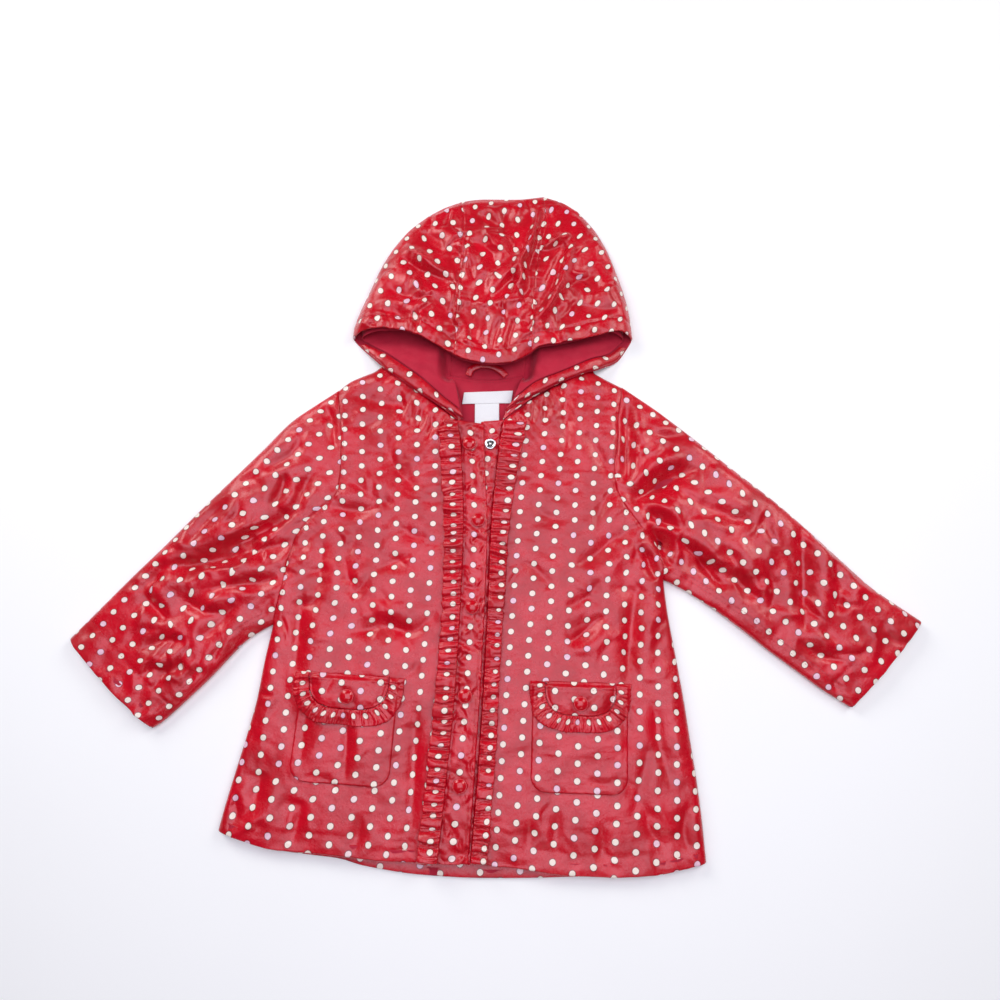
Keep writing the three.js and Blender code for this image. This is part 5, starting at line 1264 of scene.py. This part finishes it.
def build_hood_shell():
    plan = hood_plan(0)
    gap = 0.06
    made = []
    for side, sign in (("Right", -1), ("Left", 1)):
        rows = ROWS[side.lower()]
        up2, un2, us, vs = side_grids(plan, side, sign * gap, curve(HOOD["brim" + side]), curve(HOOD["wing" + side]), 62, 126)
        top = placed(up2, hood_top(up2, plan, 0))
        uz = hood_under(un2, plan, side, 0)
        uz = np.where(distance(un2, plan["outline"]) < 0.3, uz, uz + wing_detail(un2, side) * 0.8)
        turn = np.where(vs <= TURN_AT, 1.0, 1 - smooth((vs - TURN_AT) / (TURN_V - TURN_AT)))[:, None] * (1 - smooth(us / 0.05))[None]
        uz = lerp(uz, TURN_Z, turn * (vs <= TURN_V)[:, None])
        uz[:, -1], uz[-1, :] = FOLD_Z, FOLD_Z
        top[:, -1, 2], top[-1, :, 2] = FOLD_Z, FOLD_Z
        under = placed(un2, np.maximum(uz, 0.0))
        # The brim's turned edge.
        top = curled(top, 1.1, 5.0)
        # The stand: from the turn, under the wing, to the neck edge of the front.
        k = vs <= TURN_AT
        start = under[k, 0]
        su = np.linspace(0, 1, 24)
        neck = aside(back2front(curve(rows["neck"])), sign * STAND_GAP)(vs[k] / TURN_AT)
        hz = front_z(side.lower(), neck, detail=False)
        S = np.zeros((k.sum(), len(su), 3))
        for i, u in enumerate(su):
            S[:, i, :2] = lerp(start[:, :2], neck, u)
            S[:, i, 2] = start[:, 2] if u == 0 else lerp(STAND_Z, np.maximum(hz, STAND_Z - 1), smooth((u - 0.6) / 0.4))
        wave = noise(np.linspace(0, 95, k.sum())[:, None] + 0 * su[None], su[None] * 6 + 0 * S[..., 0], 6, 125)
        S[..., 2] += 1.1 * wave * smooth((su[None] - 0.45) / 0.3)
        name = "hood_side_" + side.lower()
        uvt = lattice_uv(name, top)
        uvu = lattice_uv(name, under)
        uvs = strip_uv(S, (4.0, 2.0))
        made.append(wall(name + "_cloth", [(top, uvt, False), (under, uvu, True), (S, uvs, False)], 0.9))
    us, vs = np.linspace(0, 1, 62), hood_vs(126)
    up2 = patch(curve(HOOD["brimMid"]), plan["mid"], moved(plan["seam"]["Right"], gap), moved(plan["seam"]["Left"], -gap), us, vs)
    vs2 = np.linspace(0, 1, 40)
    un2 = patch(curve(HOOD["neck"]), plan["mid"], moved(plan["backSeam"]["Right"], gap), moved(plan["backSeam"]["Left"], -gap), us, vs2)
    top, under = placed(up2, hood_top(up2, plan, 0)), placed(un2, hood_under(un2, plan, None, 0))
    top[-1, :, 2] = under[-1, :, 2] = FOLD_Z
    top = curled(top, 1.1, 5.0)
    made.append(wall("hood_centre_cloth", [(top, lattice_uv("hood_centre", top), False), (under, lattice_uv("hood_centre", under), True)], 0.9))
    return made


def lining_floor(P, side):
    """The lining's lower layer lies on the shell's, over its wings and between them."""
    plan = hood_plan(0)
    z = hood_under(P, plan, side, 0) + HOOD_CLOTH + LINING_GAP + 0.3
    if side:
        z = z + wing_detail(P, side) * 0.8
        z = z + crease_sum(P[..., 0], P[..., 1], WING_CREASES)
    return z + 0.35 * fbm(P[..., 0], P[..., 1], 18, 131, 2)


WING_CREASES = [
    ([(-108, 322), (-88, 310), (-64, 300)], 4.5, 1.3, 0.5), ([(-92, 300), (-72, 292), (-56, 276)], 4.0, 1.2, 0.5), ([(-64, 322), (-54, 306), (-48, 286)], 3.6, 1.4, 0.6),
    ([(34, 318), (40, 300), (50, 292)], 4.0, 1.2, 0.5), ([(58, 312), (76, 306), (100, 318)], 4.5, 1.2, 0.5), ([(24, 300), (34, 288), (44, 284)], 3.4, 1.2, 0.5), ([(90, 312), (104, 318), (118, 326)], 3.6, 0.9, 0.5),
]


def build_hood_lining():
    plan = hood_plan(LINING_INSET)
    lift = HOOD_CLOTH + LINING_GAP
    grids = []
    for side, sign in (("Right", -1), ("Left", 1)):
        up2, un2, us, vs = side_grids(plan, side, 0.0, moved(curve(HOOD["brim" + side]), dy=7), aside(curve(HOOD["facing" + side]), sign * 0.6), 34, 76)
        top = placed(up2, hood_top(up2, plan, lift + 2.9, 0))
        under = placed(un2, lining_floor(un2, side))
        top[:, -1, 2] = under[:, -1, 2] = FOLD_Z
        top[-1, :, 2] = under[-1, :, 2] = FOLD_Z
        for P, flip in ((top, False), (under, True)):
            P = P if side == "Right" else P[:, ::-1]
            uv = np.stack([P[..., 0], P[..., 1]], -1) / 1000
            grids.append((P, uv, flip))
    us, vs = np.linspace(0, 1, 34), hood_vs(76)
    up2 = patch(moved(curve(HOOD["brimMid"]), dy=7), plan["mid"], plan["seam"]["Right"], plan["seam"]["Left"], us, vs)
    vs2 = np.linspace(0, 1, 50)
    un2 = patch(curve(HOOD["neck"]), plan["mid"], plan["backSeam"]["Right"], plan["backSeam"]["Left"], us, vs2)
    top, under = placed(up2, hood_top(up2, plan, lift + 2.9, 0)), placed(un2, lining_floor(un2, None))
    top[-1, :, 2] = under[-1, :, 2] = FOLD_Z
    for P, flip in ((top[:, ::-1], False), (under[:, ::-1], True)):
        grids.append((P, np.stack([P[..., 0], P[..., 1]], -1) / 1000, flip))
    # Seen from inside the bag, so its wall is on the outer side of what shows.
    return wall("hood_lining_cloth", grids, 0.7, ("lining", "lining"))


def build_facings():
    made = []
    for side, sign in (("Right", -1), ("Left", 1)):
        edge, inner = aside(curve(HOOD["wing" + side]), sign * 0.5), aside(curve(HOOD["facing" + side]), -sign * 0.9)
        us, vs = np.linspace(0, 1, 13), np.linspace(0, 0.93, 124)
        P2 = lerp(edge(vs)[None], inner(vs)[None], us[:, None, None])
        plan = hood_plan(0)
        z = hood_under(P2, plan, side, 0) + HOOD_CLOTH + LINING_GAP + THIN * 0.9 + wing_detail(P2, side) * 0.8
        u = us[:, None] + 0 * z
        s = np.linspace(0, 1, 124)[None] * 135 + 0 * z
        z += 0.9 * np.sin(np.pi * u) ** 0.7 + 0.35 * noise(s, u * 12, 7, 135) - 0.5 * np.exp(-((u - 0.88) / 0.05) ** 2)
        P = placed(P2, z)
        P[0, :, 2] -= 1.2
        P[-1, :, 2] -= 0.3
        off = (5.0, 6.5) if side == "Right" else (12.0, -1.5)
        uv = strip_uv(P, off)
        made.append(wall("hood_facing_%s_cloth" % side.lower(), [(P, uv, False)], 0.8))
    return made


# ---------- inside the neck ----------
def back_lining_z(P2):
    x, y = P2[..., 0], P2[..., 1]
    return CLOTH + REST + THIN + 0.35 * fbm(x, y, 20, 141, 2) + crease_sum(x, y, [([(-60, 262), (-46, 250), (-40, 236)], 4, 0.6, 0.5), ([(30, 268), (24, 250), (26, 236)], 4, 0.6, 0.5)])


def build_neck():
    low = curve([(-78, 214), (-12, 206), (52, 214)])
    upper = curve([(-80, 290), (-50, 291.0), (-31, 287.7), (-13, 286.7), (5, 287.7), (24, 291.0), (54, 290.5)])
    a, b = upper(np.array([0.0, 1.0]))
    P2 = patch(low, upper, curve([(-78, 214), tuple(a)]), curve([(52, 214), tuple(b)]), np.linspace(0, 1, 70), np.linspace(0, 1, 44))
    P = placed(P2, back_lining_z(P2) + 0.4)
    lining = wall("back_lining_cloth", [(P, P[..., :2] / 1000, False)], 0.6, ("lining", "lining"))
    labels = []
    for name, w, e, n in (("label_wide", [(-38, 261), (-36, 273)], [(11, 262), (13, 275)], (44, 14)), ("label_care", [(-25, 236.5), (-25, 260.9)], [(-1, 236.5), (-1, 261.4)], (26, 26))):
        P2 = patch(curve([w[0], e[0]]), curve([w[1], e[1]]), curve(w), curve(e), np.linspace(0, 1, n[0]), np.linspace(0, 1, n[1]))
        z = back_lining_z(P2) + REST + THIN + 0.3 + 0.25 * noise(P2[..., 0], P2[..., 1] * 0.4, 9, 151)
        if name == "label_care":
            z += 0.8 * np.linspace(1, 0, n[1])[:, None] ** 2
        P = placed(P2, z)
        labels.append(wall(name + "_cloth", [(P, P[..., :2] / 1000, False)], 0.45, ("label", "label")))
    loop = curve(HANGING_LOOP)
    vs = np.linspace(0, 1, 60)
    c, l, r = loop(vs), aside(loop, -3.4)(vs), aside(loop, 3.4)(vs)
    rows = []
    for k in np.radians(np.linspace(-90, 90, 13)):
        z = HOOD_CLOTH + LINING_GAP + THIN + REST + 2.2 + 2.4 * np.sin(np.pi * vs) + 1.5 * np.cos(k) + 0.25 * noise(vs * 60, vs * 0 + math.sin(k), 5, 155)
        rows.append(placed(lerp(l, r, (math.sin(k) + 1) / 2), z))
    P = np.stack(rows, 1)
    loop_ob = wall("hanging_loop_cloth", [(P, strip_uv(P, (9.0, 4.0)), False)], 0.7, ("shell_plain", "shell_plain"))
    return lining, labels, loop_ob


# ---------- snaps ----------
def lathe(name, profile, centre, z, mats, slot_of, sides=64):
    """A closed turned shape: profile is (radius, height) from the axis round to the axis."""
    prof = np.array(profile, float)
    a = np.linspace(0, 2 * np.pi, sides, endpoint=False)
    n = len(prof)
    V = np.zeros((n, sides, 3))
    V[..., 0] = centre[0] + prof[:, :1] * np.cos(a)
    V[..., 1] = centre[1] + prof[:, :1] * np.sin(a)
    V[..., 2] = z + prof[:, 1:]
    verts, tris, slots = [V[0].mean(0)], [], []
    for j in range(1, n - 1):
        verts.extend(V[j])
    verts.append(V[-1].mean(0))
    last = len(verts) - 1
    at = lambda j, i: 1 + (j - 1) * sides + i % sides
    for i in range(sides):
        tris.append((0, at(1, i + 1), at(1, i)))
        slots.append(slot_of(0))
        for j in range(1, n - 2):
            tris += [(at(j, i), at(j, i + 1), at(j + 1, i + 1)), (at(j, i), at(j + 1, i + 1), at(j + 1, i))]
            slots += [slot_of(j)] * 2
        tris.append((at(n - 2, i), at(n - 2, i + 1), last))
        slots.append(slot_of(n - 2))
    T, verts = np.array(tris), np.array(verts)
    return mesh_object(name, verts, T, verts[T.ravel()][:, :2] / 1000, mats, np.array(slots, float))


CAP_PROFILE = [(0, 0), (0.90, 0.0), (0.965, 0.05), (0.995, 0.15), (1.0, 0.25), (0.99, 0.37), (0.965, 0.47), (0.925, 0.52), (0.885, 0.50), (0.855, 0.50), (0.82, 0.55), (0.72, 0.68), (0.58, 0.79), (0.42, 0.885), (0.25, 0.95), (0.10, 0.99), (0, 1.0)]
SOCKET_PROFILE = [(0, 0), (1.0, 0.0), (1.0, 0.42), (0.975, 0.62), (0.92, 0.76), (0.84, 0.82), (0.74, 0.80), (0.66, 0.72), (0.58, 0.60), (0.50, 0.50), (0.44, 0.30), (0.42, 0.22), (0.30, 0.20), (0.27, 0.32), (0.26, 0.55), (0.24, 0.78), (0.18, 0.95), (0.09, 1.03), (0, 1.06)]


def disc(cx, cy, r):
    a, k = np.meshgrid(np.linspace(0, 2 * np.pi, 20), np.linspace(0, 1, 6))
    return np.stack([cx + r * k * np.cos(a), cy + r * k * np.sin(a)], -1)


def build_snaps():
    made = []
    for i, (x, y) in enumerate(SNAP_CAPS):
        z = band_z(disc(x, y, CAP_R * 0.9), "right").max() + 0.12
        made.append((lathe("snap_cap_%d_turned" % (i + 1), [(r * CAP_R, h * CAP_H * 1.3) for r, h in CAP_PROFILE], (x, y), z, ["cap"], lambda j: 0), "snap_cap_%d" % (i + 1), "snap_cap"))
    for side in ("right", "left"):
        r, ex, ey = pocket_frame(side)
        c = np.array([r["x"], r["y"]]) - ey * r["flapH"] * 0.62
        z = flap_z(side, disc(c[0], c[1], CAP_R * 0.9)).max() + 0.12
        made.append((lathe("snap_cap_pocket_%s_turned" % side, [(k * CAP_R, h * CAP_H * 1.3) for k, h in CAP_PROFILE], c, z, ["cap"], lambda j: 0), "snap_cap_pocket_" + side, "snap_cap"))
    z = band_z(disc(SOCKET[0], SOCKET[1], SOCKET_R), "left").max() + 0.12
    # The faces down into the socket's hollow (profile rows 9 to 11) take the near-black metal: painted shade.
    made.append((lathe("snap_socket_turned", [(r * SOCKET_R, h * 2.1) for r, h in SOCKET_PROFILE], SOCKET, z, ["metal", "metal_painted_shade"], lambda j: 1 if j in (9, 10, 11) else 0), "snap_socket", "snap_metal"))
    return made


# ---------- stitches ----------
class Heights:
    """The topmost height of some grids of points, read at any place in the plane."""

    def __init__(self, *grids, step=0.6):
        pts = []
        for P in grids:
            a, b, c, d = P[:-1, :-1], P[:-1, 1:], P[1:, 1:], P[1:, :-1]
            for u in (0.0, 0.25, 0.5, 0.75):
                for v in (0.0, 0.25, 0.5, 0.75):
                    pts.append((lerp(lerp(a, b, u), lerp(d, c, u), v)).reshape(-1, 3))
        pts = np.concatenate(pts)
        self.step, self.lo = step, pts[:, :2].min(0) - 4 * step
        size = np.ceil((pts[:, :2].max(0) + 4 * step - self.lo) / step).astype(int) + 1
        H = np.full(size, -1e3)
        i = np.round((pts[:, :2] - self.lo) / step).astype(int)
        np.maximum.at(H, (i[:, 0], i[:, 1]), pts[:, 2])
        for _ in range(2):
            G = H.copy()
            for dx, dy in ((1, 0), (-1, 0), (0, 1), (0, -1)):
                G = np.maximum(G, np.roll(H, (dx, dy), (0, 1)))
            H = np.where(H < -100, G, H)
        self.H = H

    def __call__(self, Q):
        g = (Q - self.lo) / self.step
        i = np.clip(np.floor(g).astype(int), 0, np.array(self.H.shape) - 2)
        f = np.clip(g - i, 0, 1)
        a, b, c, d = (self.H[i[..., 0] + p, i[..., 1] + q] for p, q in ((0, 0), (1, 0), (0, 1), (1, 1)))
        z = lerp(lerp(a, b, f[..., 0]), lerp(c, d, f[..., 0]), f[..., 1])
        return np.where(np.minimum(np.minimum(a, b), np.minimum(c, d)) < -100, np.nan, z)


STITCHES = {"thread": [], "thread_pale": []}


def stitch(path, top, pitch=3.1, length=2.3, kind="thread", lift=0.06, a=0.0, b=1.0, seed=0):
    total = np.hypot(*np.diff(path(np.linspace(a, b, 200)), axis=0).T).sum()
    n = max(int(total / pitch), 1)
    r = np.random.default_rng(seed + int(total * 10))
    s = (np.arange(n) + 0.5 + r.uniform(-0.05, 0.05, n)) / n
    h = length / 2 / total
    A, B = path(lerp(a, b, s - h)), path(lerp(a, b, s + h))
    za, zb, zm = top(A), top(B), top((A + B) / 2)
    z = np.maximum((za + zb) / 2, zm - 0.1)
    za, zb = za + (z - (za + zb) / 2), zb + (z - (za + zb) / 2)
    ok = np.isfinite(za) & np.isfinite(zb)
    STITCHES[kind].append(np.stack([placed(A, za + lift), placed(B, zb + lift)], 1)[ok])


def build_stitches(kind, name, radius=0.2):
    S = np.concatenate(STITCHES[kind])
    A, B = S[:, 0], S[:, 1]
    D = B - A
    L = np.linalg.norm(D, axis=1, keepdims=True)
    D /= L
    side = np.cross(np.array([0.0, 0, 1]), D)
    side /= np.maximum(np.linalg.norm(side, axis=1, keepdims=True), 1e-9)
    up = np.cross(D, side)
    ts, rs = np.array([0, 0.5, 1.0]), np.array([0.5, 1.0, 0.5]) * radius
    ang = np.arange(6) * np.pi / 3
    n = len(S)
    V = A[:, None, None] + D[:, None, None] * (L[:, :, None, None] * ts[None, :, None, None])
    V = V + rs[None, :, None, None] * (side[:, None, None] * np.cos(ang)[None, None, :, None] * 1.15 + up[:, None, None] * np.sin(ang)[None, None, :, None] * 0.9)
    V[..., 2] -= (0.16 * (2 * ts - 1) ** 2)[None, :, None]
    verts = V.reshape(-1, 3)
    tris = []
    for j in range(2):
        for i in range(6):
            a, b, c, d = j * 6 + i, j * 6 + (i + 1) % 6, (j + 1) * 6 + (i + 1) % 6, (j + 1) * 6 + i
            tris += [(a, c, b), (a, d, c)]
    for i in range(1, 5):
        tris += [(0, i, i + 1), (12, 12 + i + 1, 12 + i)]
    T = (np.array(tris)[None] + (np.arange(n) * 18)[:, None, None]).reshape(-1, 3)
    return mesh_object(name, verts, T, verts[T.ravel()][:, :2] / 1000, [kind], np.zeros(len(T)))


def sew():
    for side, sign in (("right", -1), ("left", 1)):
        rows = ROWS[side]
        fz = lambda Q, side=side: front_z(side, Q)
        stitch(aside(curve(rows["armhole"]), -sign * -2.6), fz, a=0.02, b=0.98)
        r, ex, ey = pocket_frame(side)
        w, h = r["w"] / 2 - 2.4, r["h"] - 2.4
        k = np.linspace(0, np.pi / 2, 8)
        c = 11.6
        left = [(-w, -6.0 - 8 * i) for i in range(int((h - c - 6) / 8))]
        arc1 = [(-w + c - c * math.cos(t), -h + c - c * math.sin(t)) for t in k]
        arc2 = [(w - c + c * math.sin(t), -h + c - c * math.cos(t)) for t in k]
        right = [(-x, y) for x, y in left[::-1]]
        pts = pocket_place(side, *np.array(left + arc1 + arc2 + right).T)
        stitch(curve([tuple(p) for p in pts]), lambda Q, side=side: pocket_z(side, Q), a=0.04, b=0.96)
        fl = lambda Q, side=side: flap_z(side, Q)
        for dy in (-1.8, -6.6):
            pts = pocket_place(side, *np.array([(x, dy) for x in (-r["flapW"] / 2 + 1.6, 0.0, r["flapW"] / 2 - 1.6)]).T)
            stitch(curve([tuple(p) for p in pts]), fl)
        x, y = round_at(side, np.linspace(0.05, np.pi - 0.05, 40), -2.6)
        stitch(curve([tuple(p) for p in pocket_place(side, x, y)]), fl)
        name = "sleeve_" + side
        arm = SLEEVES[side]
        scye, upper, lower, cuff = sleeve_curves(arm, rows["armhole"], sign)
        hs = Heights(GRIDS[name + "_cloth"][0])
        stitch(aside(cuff, (1 if side == "right" else -1) * 27), hs, a=0.02, b=0.98)
        for k in (9.5, 13.5):
            stitch(aside(lower, sign * k), hs, a=0.02, b=0.93)
    top = lambda Q: band_z(Q, "right")
    stitch(aside(curve(OVERLAP_EDGE), 2.6), top, a=0.004, b=0.996)
    stitch(aside(curve(FRONT_RIGHT["centre"]), -2.0), top, a=0.004, b=0.996)
    under = lambda Q: band_z(Q, "left")
    stitch(aside(curve(FRONT_LEFT["centre"]), 2.0), under, a=0.004, b=0.996)
    for name in ("ruffle_right_cloth", "ruffle_left_cloth"):
        P = GRIDS[name][0]
        w = 2 if name.startswith("ruffle_right") else 2
        line = P[::6, w, :2]
        stitch(curve([tuple(p) for p in line]), Heights(P))
    shells = [GRIDS["hood_side_right_cloth"][0], GRIDS["hood_centre_cloth"][0], GRIDS["hood_side_left_cloth"][0]]
    hood = Heights(*shells)
    for c in (HOOD["seamRight"], HOOD["seamLeft"]):
        for k in (-2.3, 2.3):
            stitch(aside(curve(c), k), hood, b=0.97)
    brim = curve(HOOD["brimRight"][::-1], HOOD["brimMid"], HOOD["brimLeft"])
    stitch(aside(brim, 13.5), hood, a=0.03, b=0.97)
    for side in ("right", "left"):
        P = GRIDS["hood_facing_%s_cloth" % side][0]
        stitch(curve([tuple(p) for p in P[-3, ::6, :2]]), Heights(P))
        stitch(curve([tuple(p) for p in P[2, ::6, :2]]), Heights(P))
    for name, col in (("label_wide_cloth", 2), ("label_wide_cloth", -3)):
        P = GRIDS[name][0]
        stitch(curve([tuple(p) for p in P[:, col, :2]]), Heights(P), pitch=2.0, length=1.5, kind="thread_pale")
    lining = Heights(*[GRIDS["back_lining_cloth"][0]])
    stitch(curve([(-46, 288.0), (-31, 285.2), (-13, 284.2), (5, 285.2), (20, 288.0)]), lining)


# ---------- all of it ----------
SLEEVES = {"right": SLEEVE_RIGHT, "left": SLEEVE_LEFT}


def put(ob, node):
    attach(ob, "root")
    if node:
        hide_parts(node)
    return ob


cloth = {}
for side, outward in (("right", -1), ("left", 1)):
    cloth["front_" + side] = build_front(side, outward)
    cloth["sleeve_" + side] = build_sleeve(side, SLEEVES[side], ROWS[side]["armhole"], outward)
    cloth["pocket_" + side] = build_pocket(side)
    cloth["flap_" + side] = build_flap(side)
    cloth["flap_ruffle_" + side] = build_flap_ruffle(side)
cloth["back"] = build_back()
cloth["placket_left"], cloth["placket_right"] = build_bands()
cloth["ruffle_right"], cloth["ruffle_left"] = build_placket_ruffles()
cloth["hood_side_right"], cloth["hood_side_left"], cloth["hood_centre"] = build_hood_shell()
cloth["hood_lining"] = build_hood_lining()
cloth["hood_facing_right"], cloth["hood_facing_left"] = build_facings()
cloth["back_lining"], (cloth["label_wide"], cloth["label_care"]), cloth["hanging_loop"] = build_neck()
for node, ob in cloth.items():
    put(ob, node)
for ob, node, kind in build_snaps():
    put(ob, node)
sew()
put(build_stitches("thread", "stitches_shell"), None)
put(build_stitches("thread_pale", "stitches_label", 0.14), None)


# ---------- floor, light, camera ----------
def floor_material():
    t = Tree("floor")
    pos = t.node("ShaderNodeTexCoord").outputs["Object"]
    c = t.mix(t.map(t.noise(pos, 3.0, 3.0), 0.3, 0.7), (0.98, 0.975, 0.94), (0.97, 0.965, 0.93))
    t.set(Base_Color=c, Roughness=t.map(t.noise(pos, 30.0), 0.3, 0.7, 0.85, 0.95), Normal=t.bump(t.noise(pos, 500.0, 2.0), 0.05, 0.0002))
    t.bsdf.inputs["Specular IOR Level"].default_value = 0.1
    return t.mat


me = bpy.data.meshes.new("floor")
me.from_pydata([(-6, -6, 0), (6, -6, 0), (6, 6, 0), (-6, 6, 0)], [], [(0, 1, 2, 3)])
me.materials.append(floor_material())
floor = bpy.data.objects.new("floor", me)
bpy.context.scene.collection.objects.link(floor)
floor.location.z = -0.0003


def softbox(name, at, size, radiance, tilt=(0.0, 0.0), colour=(1.0, 1.0, 1.0), spread=180):
    light = bpy.data.lights.new(name, "AREA")
    light.shape = "RECTANGLE"
    light.size, light.size_y = size
    light.energy = radiance * math.pi * size[0] * size[1]
    light.color = colour
    light.spread = math.radians(spread)
    ob = bpy.data.objects.new(name, light)
    ob.location = at
    ob.rotation_euler = (math.radians(tilt[0]), math.radians(tilt[1]), 0)
    bpy.context.scene.collection.objects.link(ob)
    return ob


softbox("softbox_above", (0.0, -0.12, 1.30), (1.30, 1.20), 2.72, colour=(0.96, 0.965, 1.14))
softbox("lamp_left", (-0.98, 0.92, 0.85), (0.80, 0.70), 6.6, (-37, -49))
softbox("lamp_high", (0.95, 0.55, 1.15), (0.55, 0.55), 4.6, (-22, 39))
softbox("lamp_right", (1.05, 0.85, 0.90), (0.55, 0.55), 4.2, (-36, 44))
softbox("lamp_near", (0.25, -1.25, 1.00), (0.40, 0.25), 3.0, (50, 10))
world = bpy.data.worlds.new("studio")
world.use_nodes = True
world.node_tree.nodes["Background"].inputs[0].default_value = (0.045, 0.045, 0.048, 1.0)
world.node_tree.nodes["Background"].inputs[1].default_value = 1.0
bpy.context.scene.world = world

cam = bpy.data.cameras.new("camera")
cam.sensor_width = 36
cam.lens = 28.08
cam.clip_start, cam.clip_end = 0.05, 20
camera = bpy.data.objects.new("camera", cam)
camera.location = (0.003, -0.1572, 0.748)
camera.rotation_euler = (math.radians(12.32), 0, 0)
bpy.context.scene.collection.objects.link(camera)
bpy.context.scene.camera = camera
bpy.context.scene.view_settings.view_transform = "Standard"
bpy.context.scene.view_settings.look = "None"
